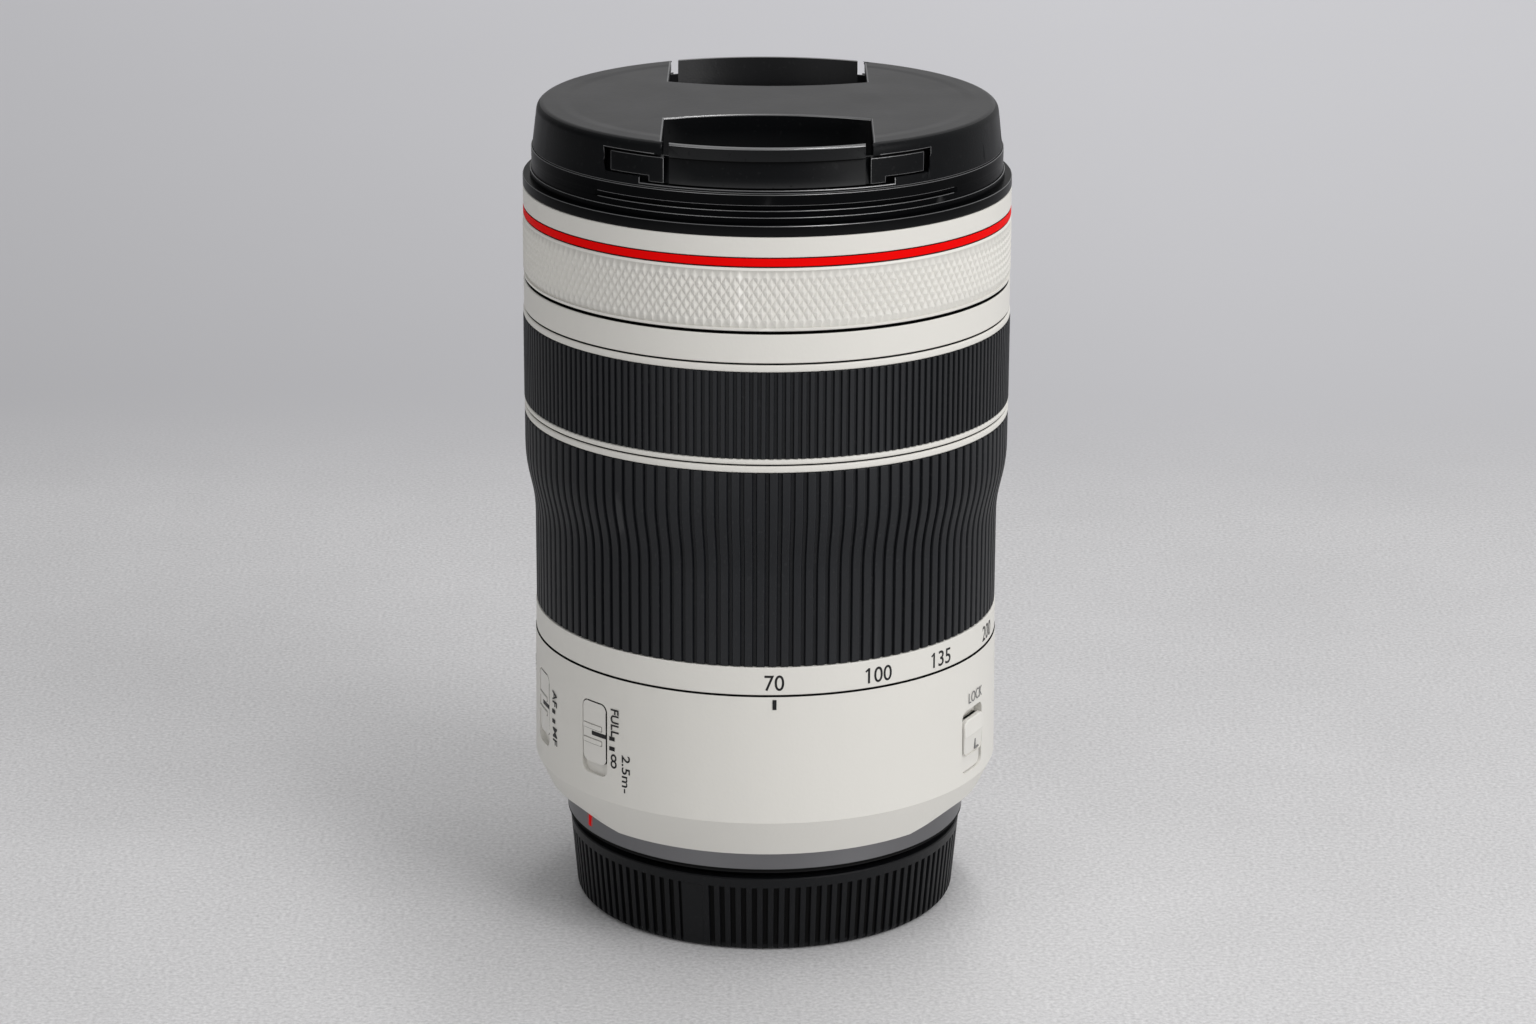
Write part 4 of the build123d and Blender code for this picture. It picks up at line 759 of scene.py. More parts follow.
# Pinch tabs: a grip plate that leans back under a lip, and a wing on both sides, a stub and then a bar
tabSizes = dict(half=15.9, wing=16.75, stub=19.2, bar=25.5, low=119.95, barLow=120.9, middle=122.5,
                barTop=124.05, lipLow=124.2, sink=0.1, gripLowIn=0.12, gripTopIn=1.0, gapLowIn=0.5,
                gapTopIn=1.7, shadow=0.4, top=126.3, round=0.25, inner=36.7, innerLow=121.15, innerTop=37.9,
                wingInner=37.2, edge=0.1)
# Blocks behind a tab that hold it in its slides, as on the solid
slideSizes = (
    dict(half=15.9, low=119.95, top=121.15, outer=36.75, inner=27.0),
    dict(half=9.0, low=116.95, top=120.0, outer=38.25, inner=36.45),
)


def capPanel(columns, rows, outer, inner, kept):
    # a curved plate from a grid of columns (distance to the side, kind) and rows (height, kind)
    bm = bmesh.new()

    def grid(reach):
        made = {}
        for c, (side, sort) in enumerate(columns):
            for r, (height, level) in enumerate(rows):
                radius = reach(side, sort, height, level)
                made[c, r] = bm.verts.new((side * mm, -math.sqrt(radius ** 2 - side ** 2) * mm,
                                           (mountPlane + height) * mm))
        return made

    front, back = grid(outer), grid(inner)
    cells = {(c, r) for c in range(len(columns) - 1) for r in range(len(rows) - 1)
             if kept(columns[c], columns[c + 1], rows[r], rows[r + 1])}
    for c, r in cells:
        corners = [(c, r), (c + 1, r), (c + 1, r + 1), (c, r + 1)]
        bm.faces.new([front[corner] for corner in corners])
        bm.faces.new([back[corner] for corner in reversed(corners)])
        for index, near in enumerate(((c, r - 1), (c + 1, r), (c, r + 1), (c - 1, r))):
            if near not in cells:
                first, last = corners[index], corners[(index + 1) % 4]
                bm.faces.new([front[last], front[first], back[first], back[last]])
    bmesh.ops.remove_doubles(bm, verts=bm.verts, dist=1.5 * weld)
    bmesh.ops.dissolve_degenerate(bm, edges=bm.edges, dist=1.5 * weld)
    bmesh.ops.delete(bm, geom=[vert for vert in bm.verts if not vert.link_faces], context="VERTS")
    bmesh.ops.recalc_face_normals(bm, faces=bm.faces)
    return bm


def steps(first, last, count):
    return [first + (last - first) * step / count for step in range(count + 1)]


def tabOuter(side, sort, height, level):
    s = tabSizes
    share = (height - s["low"]) / (s["lipLow"] - s["low"])
    if sort == "gap":
        return capRadius(height, s["gapLowIn"] + share * (s["gapTopIn"] - s["gapLowIn"]))
    if level == "grip" and sort == "main":
        return capRadius(height, s["sink"] + s["gripLowIn"] + share * (s["gripTopIn"] - s["gripLowIn"]))
    start = s["top"] - s["round"]
    if height <= start:
        return capRadius(height, s["sink"])
    up = math.asin(min(1.0, (height - start) / s["round"]))
    return capRadius(start, s["sink"]) - s["round"] * (1 - math.cos(up))


def tabInner(side, sort, height, level):
    s = tabSizes
    if sort != "main":
        return s["wingInner"]
    share = max(0.0, height - s["innerLow"]) / (s["top"] - s["innerLow"])
    return s["inner"] + (s["innerTop"] - s["inner"]) * share


def tabCell(column, nextColumn, row, nextRow):
    s = tabSizes
    if column[1] == nextColumn[1] == "main":
        return True
    low = s["low"] if max(abs(column[0]), abs(nextColumn[0])) < s["stub"] + close else s["barLow"]
    return row[0] > low - close and nextRow[0] < s["barTop"] + close


def slideBlock(s):
    columns = [(side, "main") for side in steps(-s["half"], s["half"], 8)]
    return capPanel(columns, [(s["low"], "lip"), (s["top"], "lip")], lambda *place: s["outer"],
                    lambda *place: s["inner"], lambda *around: True)


def paintTab(bm):
    # the lip's top takes the painted edge highlight, the hidden back takes the cap top's lighter finish,
    # painted light, and a strip under the lip takes painted shadow
    s = tabSizes
    bm.normal_update()
    for face in bm.faces:
        radius, angle, height = facePlace(face)
        if face.normal.y > 0.7 and height > s["innerLow"] + 0.05:
            face.material_index = 2
        if height > s["top"] - s["round"] and face.normal.y < 0.5:
            face.material_index = 1
        under = s["lipLow"] - s["shadow"] < height < s["lipLow"] - close
        if under and face.normal.y < -0.5 and abs(face.calc_center_median().x) < s["half"] * mm:
            face.material_index = 3


def capTab(turn):
    s = tabSizes
    wing = steps(s["wing"], s["stub"], 2) + steps(s["stub"], s["bar"], 4)[1:]
    gap = (s["half"], s["wing"])
    columns = [(-side, "wing") for side in reversed(wing)] + [(-side, "gap") for side in reversed(gap)]
    columns += [(side, "main") for side in steps(-s["half"], s["half"], 14)]
    columns += [(side, "gap") for side in gap] + [(side, "wing") for side in wing]
    heights = (s["low"], s["barLow"], s["middle"], s["lipLow"] - s["shadow"], s["barTop"], s["lipLow"])
    rows = [(height, "grip") for height in heights] + [(s["lipLow"], "lip")]
    rounding = [math.radians(90 * step / 3) for step in range(4)]
    rows += [(s["top"] - s["round"] * (1 - math.sin(up)), "lip") for up in rounding]
    bm = capPanel(columns, rows, tabOuter, tabInner, tabCell)
    paintTab(bm)
    # the rounded outer edges, apart from the lip's lower edge, take the painted edge highlight
    roundWhere(bm, lambda radius, angle, height: abs(radius - tabOuter(0, "wing", height, "lip")) < 4 * close
               and abs(height - s["lipLow"]) > close, s["edge"], 1)
    for sizes in slideSizes:
        addMesh(bm, slideBlock(sizes))
    turnMesh(bm, turn)
    return bm


for node, (body, turn) in {"cap_front_tab": ("front_tab", 0), "cap_rear_tab": ("rear_tab", 180)}.items():
    makePiece(node + "_shell", capTab(turn), body, "cap_plastic", [node], sharpAngle=28,
              second=("worn_edge", "cap_top_lit_plastic", "seam_shadow"))
cadCopy("cap_body", "front_cap", "cap_plastic", 0.0, 28, shapeCapBody, ("worn_edge", "cap_top_lit_plastic"))
print("front ring and cap done")

# The index mark grows taller and wider than the solid's, from its own corner and foot
markSizes = dict(angle=-60.3, low=1.3, newLow=1.15, wider=1.9, taller=1.55)
# The lowest part of the mount ring's rim lies back in shadow
rimShadeSizes = dict(top=0.42, radius=33.5)


def shapeIndexMark(bm):
    s = markSizes
    for vert in bm.verts:
        radius, angle, height = lensPlace(vert.co)
        vert.co = onLens(radius, s["angle"] + (angle - s["angle"]) * s["wider"],
                         s["newLow"] + (height - s["low"]) * s["taller"])


def shadeMountRing(bm):
    cutMesh(bm, onLens(0, 0, rimShadeSizes["top"]), (0, 0, 1))
    for face in bm.faces:
        radius, angle, height = facePlace(face)
        if radius > rimShadeSizes["radius"] and height < rimShadeSizes["top"]:
            face.material_index = 1


# Pieces that keep the solid's own shape, with softened edges: body, slot, edge width, and any change to it
keptShapes = {
    "mount_ring": ("barrel", "mount_metal", 0.12, shadeMountRing, "seam_shadow"),
    "mount_gasket": ("barrel", "seal_rubber", 0.08),
    "index_mark": ("barrel", "red_paint", 0.05, shapeIndexMark),
    "inner_tube": ("head", "cream_paint", 0.1),
    "front_cell": ("head", "black_metal", 0.1),
    "front_retaining_ring": ("head", "black_metal", 0.08),
    "front_glass": ("head", "coated_glass", 0.0),
}
for node, (body, slot, width, *shaping) in keptShapes.items():
    cadCopy(node, body, slot, width, 32, *shaping)
print("kept shapes softened:", len(keptShapes))

# Rear cap: smooth lip, ribs with slots that close under it, and one plain panel
rearCapSizes = dict(top=-1.6, low=-15.3, topRadius=34.5, taper=1.2, round=1.5, roundSteps=5, wall=1.8,
                    floorTop=-13.6, ringBore=27.05, ringRadius=28.65, ringTop=-1.9, slotTop=-3.35,
                    slotEnd=0.12, slots=115, panelSlots=3, depth=0.5, panelAngle=-25.4, lipEdge=0.2)
# Columns over a pitch: where each one lies and how deep, as shares of the pitch and of a slot's depth
slotShares = ((0.0, 1), (0.42, 1), (0.46, 0.12), (0.51, 0), (0.91, 0), (0.96, 0.12))
panelShares = ((0.0, 1), (0.07, 1), (0.08, 0.28), (0.44, 0.28), (0.8, 0.28), (0.81, 0), (0.98, 0))


def rearCapOutline():
    s = rearCapSizes
    slope = s["taper"] / (s["top"] - s["low"])
    side = lambda height: s["topRadius"] - slope * (s["top"] - height)
    outline = [(0.0, s["low"], None), (s["ringBore"], s["low"], None)]
    for step in range(s["roundSteps"] + 1):
        turn = math.radians(90 * step / s["roundSteps"])
        height = s["low"] + s["round"] * (1 - math.cos(turn))
        radius = side(s["low"] + s["round"]) - s["round"] * (1 - math.sin(turn))
        outline.append((radius, height, side(height)))
    slotEnd, lipLow = s["slotTop"] - s["slotEnd"], s["top"] - s["lipEdge"]
    outline.append((side(slotEnd), slotEnd, side(s["slotTop"])))
    inner = s["topRadius"] - s["wall"]
    smooth = [(side(s["slotTop"]), s["slotTop"]), (side(lipLow), lipLow),
              (s["topRadius"] - s["lipEdge"], s["top"]), (inner, s["top"]),
              (inner - s["taper"], s["floorTop"]), (s["ringRadius"], s["floorTop"]),
              (s["ringRadius"], s["ringTop"]), (s["ringBore"], s["ringTop"]),
              (s["ringBore"], s["floorTop"]), (0.0, s["floorTop"])]
    return outline + [(radius, height, None) for radius, height in smooth]


def rearCap():
    s = rearCapSizes
    pitch = 360 / s["slots"]
    panelTurn = s["panelSlots"] * pitch
    bm = ribSector(rearCapOutline(), slotColumns(slotShares), pitch, s["panelAngle"] + panelTurn)
    repeatRound(bm, s["slots"] - s["panelSlots"], pitch)
    addMesh(bm, ribSector(rearCapOutline(), slotColumns(panelShares), panelTurn, s["panelAngle"]))
    for face in bm.faces:
        # the floors of the slots lie in shadow
        radius, angle, height = facePlace(face)
        crest = s["topRadius"] - s["taper"] * (s["top"] - height) / (s["top"] - s["low"])
        if s["low"] + 1 < height < s["slotTop"] and 0.7 < (crest - radius) / s["depth"] < 1.2:
            face.material_index = 1
    return bm


def slotColumns(shares):
    return [(place, share * rearCapSizes["depth"]) for place, share in shares]


makePiece("rear_cap_ribbed", rearCap(), "rear_cap", "cap_plastic", ["rear_cap"],
          finish="rear_cap_plastic", sharpAngle=40, second="seam_shadow")
print("rear cap done")

# Printed marks: words and bars as thin solids bent round the barrel
markLift = 0.03
# The flag of a 1: its slant in degrees, and the rest as shares of the letter's height
flagShares = dict(slant=38, length=0.3, thickness=0.11, out=0.03, up=0.37)


def printed(name, bm, body, finish, radius, angle, height):
    # the flat mark lies round its own centre, X to the right and Y up, in millimetres
    for vert in bm.verts:
        across, up, out = vert.co
        vert.co = onLens(radius + out, angle + math.degrees(across / radius), height + up)
    return makePiece(name, bm, body, "black_plastic", finish=finish, sharpAngle=30)


def liftMark(bm):
    for vert in bm.verts:
        vert.co.z = markLift if vert.co.z > 0 else 0.0
    return bm


def flatWords(words, width, tall, turn=0, bold=0.0):
    curve = bpy.data.curves.new("words", "FONT")
    curve.body = words
    curve.align_x = "CENTER"
    curve.align_y = "CENTER"
    curve.resolution_u = 6
    curve.offset = bold
    curve.extrude = 0.01
    letters = bpy.data.objects.new("words", curve)
    scene.collection.objects.link(letters)
    mesh = bpy.data.meshes.new_from_object(letters.evaluated_get(bpy.context.evaluated_depsgraph_get()))
    bpy.data.objects.remove(letters)
    bpy.data.curves.remove(curve)
    bm = bmesh.new()
    bm.from_mesh(mesh)
    bpy.data.meshes.remove(mesh)
    lows = [min(vert.co[axis] for vert in bm.verts) for axis in (0, 1)]
    tops = [max(vert.co[axis] for vert in bm.verts) for axis in (0, 1)]
    middle = Vector(((lows[0] + tops[0]) / 2, (lows[1] + tops[1]) / 2, 0))
    bmesh.ops.translate(bm, verts=bm.verts, vec=-middle)
    bmesh.ops.scale(bm, verts=bm.verts, vec=(width / (tops[0] - lows[0]), tall / (tops[1] - lows[1]), 1))
    liftMark(bm)
    if words.startswith("1"):
        addMesh(bm, oneFlag(width, tall))
    turnMesh(bm, turn)
    return bm


def oneFlag(width, tall):
    # the font's 1 is a bare stroke, so it gets the small slanting flag at its head
    s = flagShares
    flag = flatBar(s["length"] * tall, s["thickness"] * tall)
    turnMesh(flag, s["slant"])
    bmesh.ops.translate(flag, verts=flag.verts, vec=(-width / 2 - s["out"] * tall, s["up"] * tall, 0))
    return flag


def flatBar(width, tall):
    bm = bmesh.new()
    bmesh.ops.create_cube(bm, size=1)
    bmesh.ops.scale(bm, verts=bm.verts, vec=(width, tall, 1))
    return liftMark(bm)


# Focal lengths round the zoom ring's band, each with its angle and width, and the index line on the barrel
scaleMarks = {"70": (2.2, 3.3), "100": (28.65, 4.6), "135": (48.3, 4.6), "200": (72.2, 5.0)}
scaleSizes = dict(tall=2.75, height=35.85, bold=0.006)
indexSizes = dict(width=0.67, tall=1.75, radius=40.36, angle=2.25, height=32.05)
for words, (angle, width) in scaleMarks.items():
    printed("scale_" + words, flatWords(words, width, scaleSizes["tall"], bold=scaleSizes["bold"]),
            "zoom_control", "inkBlack", zoomSizes["band"], angle, scaleSizes["height"])
printed("zoom_index", flatBar(indexSizes["width"], indexSizes["tall"]), "barrel", "inkBlack",
        indexSizes["radius"], indexSizes["angle"], indexSizes["height"])

# Words beside the switches read downwards: words, angle, height and length
barrelRadius = 40.46
letterSizes = dict(tall=1.75, turn=-90, bold=0.01)
barrelWords = {
    "full_range": ("FULL", -39.0, 25.4, 5.0),
    "near_limit": ("2.5m-", -35.6, 16.7, 6.8),
    "auto_focus": ("AF", -63.8, 24.9, 2.9),
    "manual_focus": ("MF", -63.8, 18.0, 3.2),
    "steady_on": ("ON", -91.3, 25.4, 2.9),
    "steady_off": ("OFF", -91.3, 18.2, 4.0),
    "mode_one": ("1", -117.3, 25.2, 0.25),
    "mode_two": ("2", -117.3, 18.6, 1.1),
}
for name, (words, angle, height, length) in barrelWords.items():
    printed(name, flatWords(words, length, **letterSizes), "barrel", "inkBlack", barrelRadius, angle, height)

# Beside words that read downwards, an upright 8 is the sign for infinity
infinitySizes = dict(width=1.35, tall=2.6, angle=-39.4, height=18.5)
lockWordSizes = dict(width=5.5, tall=1.9, bold=-0.004, angle=63.9, height=26.1)
printed("infinity", flatWords("8", infinitySizes["width"], infinitySizes["tall"]), "barrel", "inkBlack",
        barrelRadius, infinitySizes["angle"], infinitySizes["height"])
printed("lock_word", flatWords("LOCK", lockWordSizes["width"], lockWordSizes["tall"],
                               bold=lockWordSizes["bold"]), "barrel", "inkGrey",
        barrelRadius, lockWordSizes["angle"], lockWordSizes["height"])

# Two ticks beside each switch
tickSizes = dict(width=1.2, tall=0.72, heights=(22.5, 20.7))
tickAngles = {"limit": -39.9, "focus": -64.5, "steady": -92.1, "mode": -118.1}
for name, angle in tickAngles.items():
    for count, height in enumerate(tickSizes["heights"], 1):
        printed(f"{name}_tick_{count}", flatBar(tickSizes["width"], tickSizes["tall"]), "barrel", "inkBlack",
                barrelRadius, angle, height)
print("marks printed")


# Slide switches: a flush plate with two raised finger bars and a dark index line, over a pale bed
# A stem joins the plate to the flange that holds it behind the barrel's wall
switchSizes = dict(width=5.85, low=16.95, top=27.95, corner=1.3, back=39.62, face=40.3, edge=0.1,
                   stem=3.0, stemBack=38.6, stemCorner=0.3, stemEdge=0.05, overlap=0.05, shift=-0.17,
                   flangeWidth=7.4, flangeHeight=11.6, flangeBack=37.8, flangeCorner=0.4, flangeEdge=0.1)
fingerSizes = dict(width=4.6, height=0.75, corner=0.25, rise=0.2, places=(1.0, -1.6), side=0.2, sunk=0.1,
                   edge=0.07, outline=0.16, outlineRise=0.02, outlineEdge=0.01)
lineSizes = dict(width=3.5, height=0.76, corner=0.08, sunk=0.05, rise=0.04, edge=0.01, place=-0.1)
bedSizes = dict(width=7.2, low=14.4, top=28.8, back=39.3, face=39.56, slotWidth=3.3, slotLow=18.4,
                slotTop=23.8)
bendSizes = dict(radius=40.5, columns=(-2.0, -1.0, 0.0, 1.0, 2.0))


def flatPlate(width, height, corner, back, face, edge, across=0.0, up=0.0, dark=False):
    # a plate with round corners and a softened rim: X across, Y up, Z the distance from the lens axis
    # the walls of a dark one take the second finish, a painted shade
    bm = bmesh.new()
    bmesh.ops.create_cube(bm, size=1)
    bmesh.ops.scale(bm, verts=bm.verts, vec=(width, height, face - back))
    bm.normal_update()
    uprights = [line for line in bm.edges if abs(line.verts[0].co.z - line.verts[1].co.z) > close]
    bevelMesh(bm, uprights, corner, 5)
    bm.normal_update()
    for wall in bm.faces:
        wall.material_index = 1 if dark and abs(wall.normal.z) < 0.5 else 0
    rim = [line for line in bm.edges
           if all(vert.co.z > 0 for vert in line.verts) and line.calc_face_angle(0) > sharpTurn]
    bevelMesh(bm, rim, edge)
    for wall in bm.faces:
        if wall.material_index and max(vert.co.z for vert in wall.verts) > (face - back) / 2 - close:
            wall.material_index = 0
    bmesh.ops.translate(bm, verts=bm.verts, vec=(across, up, (face + back) / 2))
    return bm


def bendOn(bm, angle, height):
    # cuts a flat piece into columns and bends it round the barrel
    for column in bendSizes["columns"]:
        cutMesh(bm, (column, 0, 0), (1, 0, 0))
    for vert in bm.verts:
        across, up, out = vert.co
        vert.co = onLens(out, angle + math.degrees(across / bendSizes["radius"]), height + up)
    return bm


def bedPlate(s):
    # a thin plate in the wall of the window, with a slot for the slider's stem
    bm = bmesh.new()
    bmesh.ops.create_grid(bm, x_segments=3, y_segments=3, size=1)
    acrosses = (-s["width"] / 2, -s["slotWidth"] / 2, s["slotWidth"] / 2, s["width"] / 2)
    ups = (s["low"], s["slotLow"], s["slotTop"], s["top"])
    for vert in bm.verts:
        # the grid runs from -1 to 1 in three steps
        column, row = round((vert.co.x + 1) * 1.5), round((vert.co.y + 1) * 1.5)
        vert.co = (acrosses[column], ups[row], s["face"])
    middle = [face for face in bm.faces if all(
        abs(vert.co.x) < s["slotWidth"] / 2 + 0.1 and s["low"] + 0.1 < vert.co.y < s["top"] - 0.1
        for vert in face.verts)]
    bmesh.ops.delete(bm, geom=middle, context="FACES")
    bmesh.ops.solidify(bm, geom=bm.faces[:], thickness=s["face"] - s["back"])
    return bm


def fingerBar(left, up, grow, rise, edge, color):
    s = fingerSizes
    face = switchSizes["face"]
    bar = flatPlate(s["width"] + grow, s["height"] + 2 * grow, s["corner"], face - s["sunk"], face + rise,
                    edge, left + (s["width"] + grow) / 2, up)
    for side in bar.faces:
        side.material_index = color
    return bar


def switchSlider(name, angle, body):
    s, finger, dash = switchSizes, fingerSizes, lineSizes
    height = s["top"] - s["low"]
    middle = (s["top"] + s["low"]) / 2
    bm = flatPlate(s["width"], height, s["corner"], s["back"], s["face"], s["edge"], s["shift"], dark=True)
    left = s["shift"] - s["width"] / 2 + finger["side"]
    # each finger bar sits on a slightly larger plate in the step_shade finish: a painted shade outline round
    # the bar
    for place in finger["places"]:
        addMesh(bm, fingerBar(left, place, finger["outline"], finger["outlineRise"],
                              finger["outlineEdge"], 2))
        addMesh(bm, fingerBar(left, place, 0.0, finger["rise"], finger["edge"], 0))
    addMesh(bm, flatPlate(s["stem"], s["stem"], s["stemCorner"], s["stemBack"], s["back"] + s["overlap"],
                          s["stemEdge"]))
    addMesh(bm, flatPlate(s["flangeWidth"], s["flangeHeight"], s["flangeCorner"], s["flangeBack"],
                          s["stemBack"] + s["overlap"], s["flangeEdge"]))
    makePiece(name + "_slider", bendOn(bm, angle, middle), body, "switch_plastic", [name],
              sharpAngle=40, second=("seam_shadow", "step_shade"))
    line = flatPlate(dash["width"], dash["height"], dash["corner"], s["face"] - dash["sunk"],
                     s["face"] + dash["rise"], dash["edge"], s["shift"] + (s["width"] - dash["width"]) / 2,
                     dash["place"])
    makePiece(name + "_line", bendOn(line, angle, middle), body, "black_plastic", finish="inkBlack",
              sharpAngle=40)
    makePiece(name + "_bed", bendOn(bedPlate(bedSizes), angle, 0.0), "barrel", "cream_paint", sharpAngle=40)


for name, angle in switchAngles.items():
    switchSlider(name + "_switch", angle, name + "_slide")
print("switches done")

# Zoom lock: a sunk plate with a roof-shaped knob, and behind it a stem and the bolt that runs up inside
lockSizes = dict(angle=62.6, width=7.55, low=12.8, top=22.5, corner=1.25, back=39.05, face=40.1, edge=0.12,
                 stemWidth=3.0, stemHeight=4.0, stemBack=37.9, stemCorner=0.3, stemEdge=0.05, overlap=0.05,
                 boltWidth=3.0, boltTop=29.0, boltFace=38.6, boltEdge=0.1)
knobSizes = dict(height=6.6, width=7.3, back=39.4, face=41.0, edge=0.34, slope=0.085, ridge=0.25,
                 ridgeHeight=0.12, fall=0.2)
# The mark on the knob: an upright bar and a foot beside it
lockMarkSizes = dict(across=1.1, up=-1.9, tall=1.9, thickness=0.3, foot=1.5, footDown=0.8, barAside=0.7,
                     sink=0.24, depth=0.2, corner=0.05, edge=0.01)
lockBedSizes = dict(width=8.1, low=12.0, top=24.8, back=38.72, face=38.95, slotWidth=3.3, slotLow=15.4,
                    slotTop=21.6)


def lockKnob():
    # the knob's face slopes both ways from a flat ridge, and falls a little further below it
    s = knobSizes
    bm = flatPlate(s["width"], s["height"], lockSizes["corner"], s["back"], s["face"], s["edge"])
    for up in (s["ridge"] - s["ridgeHeight"], s["ridge"] + s["ridgeHeight"]):
        cutMesh(bm, (0, up, 0), (0, 1, 0))
    for vert in bm.verts:
        if vert.co.z > s["face"] - s["edge"] / 2:
            away = vert.co.y - s["ridge"]
            vert.co.z -= s["slope"] * abs(away) + (s["fall"] if away < 0 else 0.0)
    return bm


def zoomLock():
    s, knob = lockSizes, knobSizes
    middle = (s["low"] + s["top"]) / 2
    knobUp = s["top"] - knob["height"] / 2 - middle
    bm = flatPlate(s["width"], s["top"] - s["low"], s["corner"], s["back"], s["face"], s["edge"], dark=True)
    raised = lockKnob()
    bmesh.ops.translate(raised, verts=raised.verts, vec=(0, knobUp, 0))
    addMesh(bm, raised)
    addMesh(bm, flatPlate(s["stemWidth"], s["stemHeight"], s["stemCorner"], s["stemBack"],
                          s["back"] + s["overlap"], s["stemEdge"]))
    boltLow = middle - s["stemHeight"] / 2
    addMesh(bm, flatPlate(s["boltWidth"], s["boltTop"] - boltLow, s["stemCorner"], s["stemBack"],
                          s["boltFace"], s["boltEdge"], up=(s["boltTop"] + boltLow) / 2 - middle))
    makePiece("zoom_lock_slider", bendOn(bm, s["angle"], middle), "zoom_lock", "switch_plastic",
              ["zoom_lock_lever"], sharpAngle=30, second="step_shade")
    makePiece("zoom_lock_bed", bendOn(bedPlate(lockBedSizes), s["angle"], 0.0), "barrel", "cream_paint",
              sharpAngle=40)
    mark = lockMarkSizes
    face = knob["face"] - mark["sink"]
    layers = (mark["corner"], face - mark["depth"], face, mark["edge"])
    bar = flatPlate(mark["thickness"], mark["tall"], *layers, mark["across"] - mark["barAside"])
    addMesh(bar, flatPlate(mark["foot"], mark["thickness"], *layers, mark["across"], -mark["footDown"]))
    makePiece("zoom_lock_mark", bendOn(bar, s["angle"], middle + knobUp + mark["up"]), "zoom_lock",
              "black_plastic", finish="inkGrey", sharpAngle=40)


zoomLock()
print("zoom lock done")

# Remaining nodes keep their own mesh and get the finish of their slot
for node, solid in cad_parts.items():
    if not solid.hide_render:
        solid.data.materials[0] = finishes[solid.data.materials[0].name.split(".")[0]]

# Floor and backdrop in one sheet: concrete in front, a smooth pale wall tone beyond a soft horizon
# Its sizes are in metres, and floor, depth and side say where one tone gives way to the next
stageSizes = dict(radius=3.0, segments=96, horizon=0.27, blur=0.07, floor=(-0.25, 0.25),
                  depth=(0.25, 0.88), side=(-0.32, 0.12))
# Painted light in the tones: the floor is lighter near the lens than far off, and the wall is darker low down
# and at the left, lighter at the top and at the right
stageColors = dict(floorNear=(0.675, 0.672, 0.677, 1), floorFar=(0.6, 0.597, 0.605, 1),
                   pit=(0.4, 0.4, 0.4, 1), wallLowLeft=(0.42, 0.42, 0.435, 1),
                   wallLowRight=(0.54, 0.54, 0.56, 1), wallTopLeft=(0.73, 0.73, 0.76, 1),
                   wallTopRight=(0.88, 0.88, 0.915, 1))
# Clouds, fine grain and wall drift: scale and amount; pits: scale and rarity, and how dark they are
concreteSizes = dict(clouds=(22.0, 0.16), fine=(1300.0, 0.85), wall=(1.5, 0.06), pits=(1100.0, 0.66),
                     pitShare=0.2, depth=0.08, strength=0.35, rough=0.5, specular=0.35)


def stageFloor():
    bm = bmesh.new()
    bmesh.ops.create_circle(bm, cap_ends=True, segments=stageSizes["segments"], radius=stageSizes["radius"])
    mesh = bpy.data.meshes.new("studio_floor")
    bm.to_mesh(mesh)
    bm.free()
    mesh.materials.append(stageLook())
    floor = bpy.data.objects.new("studio_floor", mesh)
    scene.collection.objects.link(floor)


def stageLook():
    s, tones, concrete = stageSizes, stageColors, concreteSizes
    material, tree, shader = newLook("concrete_look")
    drift = lambda color, sizes: placeGroup(tree, driftGroup, Color=color, Scale=sizes[0], Amount=sizes[1])
    split = addNode(tree, "ShaderNodeSeparateXYZ", {0: objectPlace(tree)}).outputs
    near = fadeNode(tree, split["Y"], *s["floor"])
    toned = mixColors(tree, near, tones["floorNear"], tones["floorFar"])
    fine = drift(drift(toned, concrete["clouds"])["Color"], concrete["fine"])
    pits = placeGroup(tree, speckGroup, Scale=concrete["pits"][0], Rarity=concrete["pits"][1])
    dark = mathNode(tree, "MULTIPLY", pits["Mask"], concrete["pitShare"])
    pitted = mixColors(tree, dark, fine["Color"], tones["pit"])
    depth = fadeNode(tree, split["Y"], *s["depth"])
    left = mixColors(tree, depth, tones["wallLowLeft"], tones["wallTopLeft"])
    right = mixColors(tree, depth, tones["wallLowRight"], tones["wallTopRight"])
    backdrop = mixColors(tree, fadeNode(tree, split["X"], *s["side"]), left, right)
    wall = drift(backdrop, concrete["wall"])
    beyond = fadeNode(tree, split["Y"], s["horizon"] - s["blur"], s["horizon"] + s["blur"],
                      curve="SMOOTHSTEP")
    tree.links.new(mixColors(tree, beyond, pitted, wall["Color"]), shader["Base Color"])
    shader["Specular IOR Level"].default_value = concrete["specular"]
    shader["Roughness"].default_value = concrete["rough"]
    bump = bumpNode(tree, fine["Mask"], concrete["depth"], concrete["strength"])
    tree.links.new(bump.outputs["Normal"], shader["Normal"])
    return material


stageFloor()

# Studio light: a tall soft key from the right front, a strip overhead, and a world that is darker in front
lightSizes = {
    "key": dict(place=(0.95, -0.82, 0.75), size=(0.75, 1.0), power=8.9, color=(1.0, 0.993, 0.995)),
    "fill": dict(place=(-0.6, -0.95, 0.24), size=(0.6, 0.4), power=1.0, color=(1.0, 0.995, 0.99)),
    "strip": dict(place=(0.2, 0.05, 1.05), size=(1.2, 0.12), power=4.0, color=(1.0, 0.995, 0.995)),
}
lightAim = Vector((0, 0, 0.07))
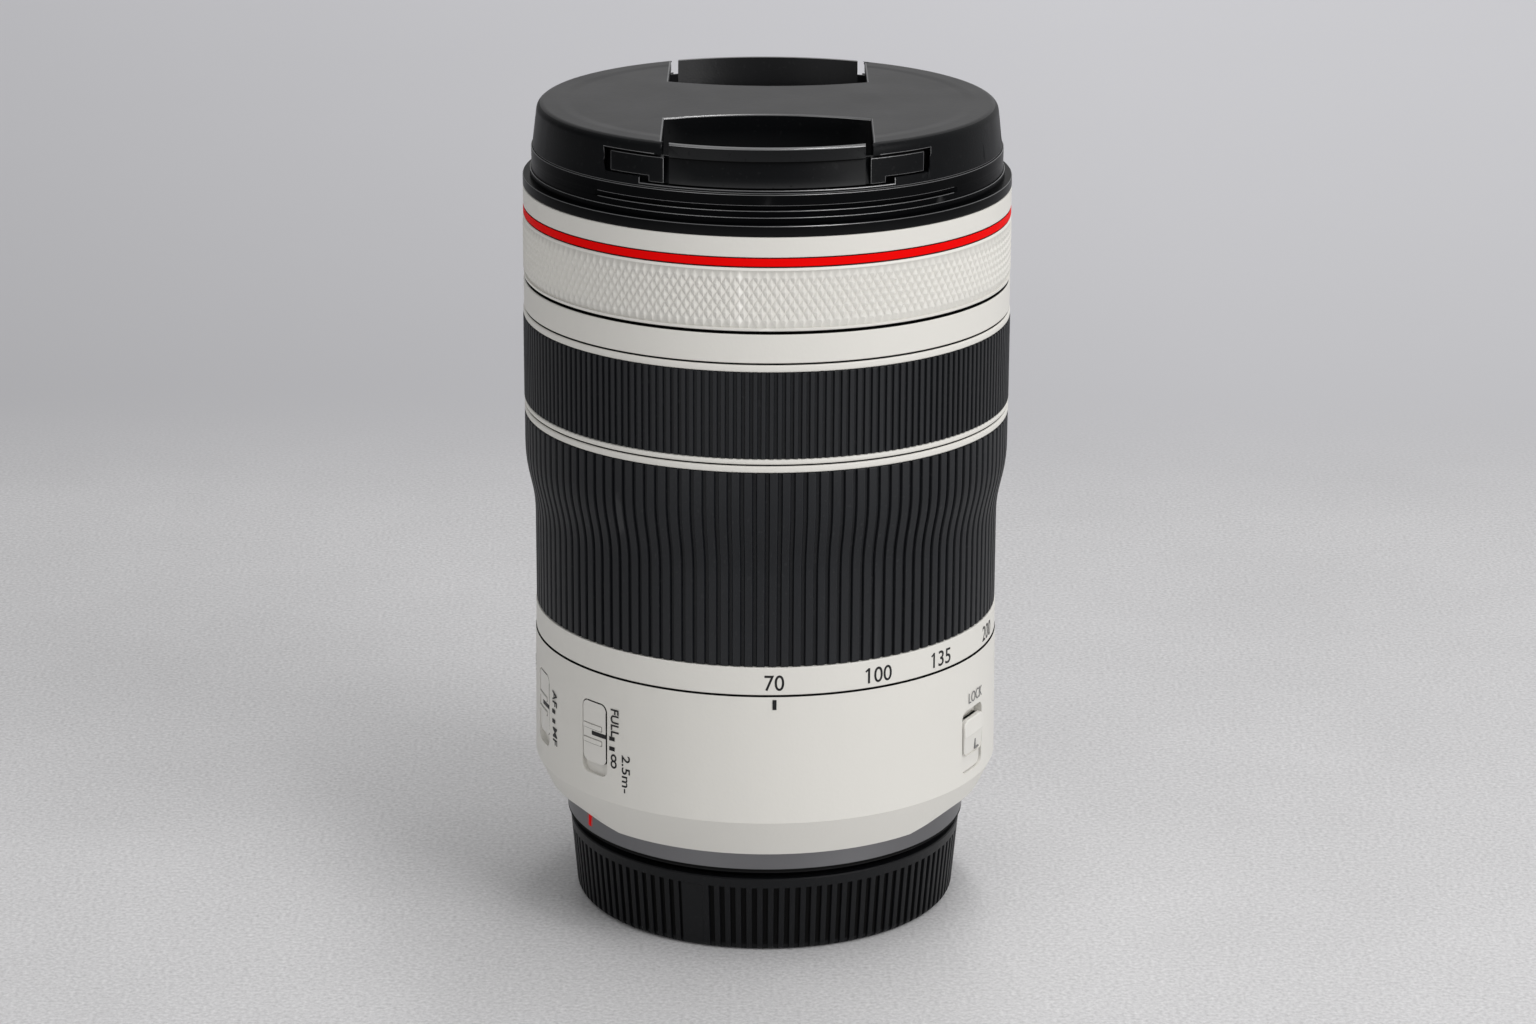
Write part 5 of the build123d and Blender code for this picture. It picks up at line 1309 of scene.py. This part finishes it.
# The world's tones, and between which directions each gives way to the next
worldSizes = dict(front=0.45, back=0.62, left=0.15, top=0.5, tint=(0.985, 0.983, 0.99, 1),
                  backdrop=(0.56, 0.565, 0.585, 1), behind=(-0.6, 0.3), side=(-0.9, 0.2), above=(0.35, 0.9))


def studioLight(name, place, size, power, color):
    lamp = bpy.data.lights.new(name, "AREA")
    lamp.shape = "RECTANGLE"
    lamp.size, lamp.size_y = size
    lamp.energy = power
    lamp.color = color
    light = bpy.data.objects.new(name, lamp)
    scene.collection.objects.link(light)
    light.location = place
    light.rotation_euler = (lightAim - light.location).to_track_quat("-Z", "Y").to_euler()


def studioWorld():
    s = worldSizes
    world = bpy.data.worlds.new("studio")
    scene.world = world
    world.use_nodes = True
    tree = world.node_tree
    place = addNode(tree, "ShaderNodeTexCoord").outputs["Generated"]
    split = addNode(tree, "ShaderNodeSeparateXYZ", {0: place}).outputs
    behind = fadeNode(tree, split["Y"], *s["behind"], curve="SMOOTHSTEP")
    side = fadeNode(tree, split["X"], *s["side"], s["left"] * s["back"], s["back"], "SMOOTHSTEP")
    above = fadeNode(tree, split["Z"], *s["above"], curve="SMOOTHSTEP")
    walls = addNode(tree, "ShaderNodeCombineColor", {0: side, 1: side, 2: side}).outputs["Color"]
    low = mixColors(tree, behind, (s["front"],) * 3 + (1,), walls)
    light = mixColors(tree, above, low, (s["top"],) * 3 + (1,))
    tinted = mixColors(tree, 1.0, light, s["tint"], blend="MULTIPLY")
    seen = addNode(tree, "ShaderNodeLightPath").outputs["Is Camera Ray"]
    tree.links.new(mixColors(tree, seen, tinted, s["backdrop"]), tree.nodes["Background"].inputs["Color"])


for name, sizes in lightSizes.items():
    studioLight(name, **sizes)
studioWorld()

# Camera, as it was worked out from the photograph
cameraSizes = dict(place=(0.000364, -0.7002, 0.2847), tilt=72.849, roll=0.243, lens=98.42, sensor=36.0,
                   near=0.01)


def makeCamera():
    s = cameraSizes
    data = bpy.data.cameras.new("camera")
    data.lens = s["lens"]
    data.sensor_width = s["sensor"]
    data.clip_start = s["near"]
    camera = bpy.data.objects.new("camera", data)
    scene.collection.objects.link(camera)
    tilt = Matrix.Rotation(math.radians(s["tilt"]), 4, "X")
    roll = Matrix.Rotation(math.radians(s["roll"]), 4, "Z")
    camera.matrix_world = Matrix.Translation(s["place"]) @ tilt @ roll
    scene.camera = camera


makeCamera()
scene.view_settings.view_transform = "Standard"
print("scene ready")
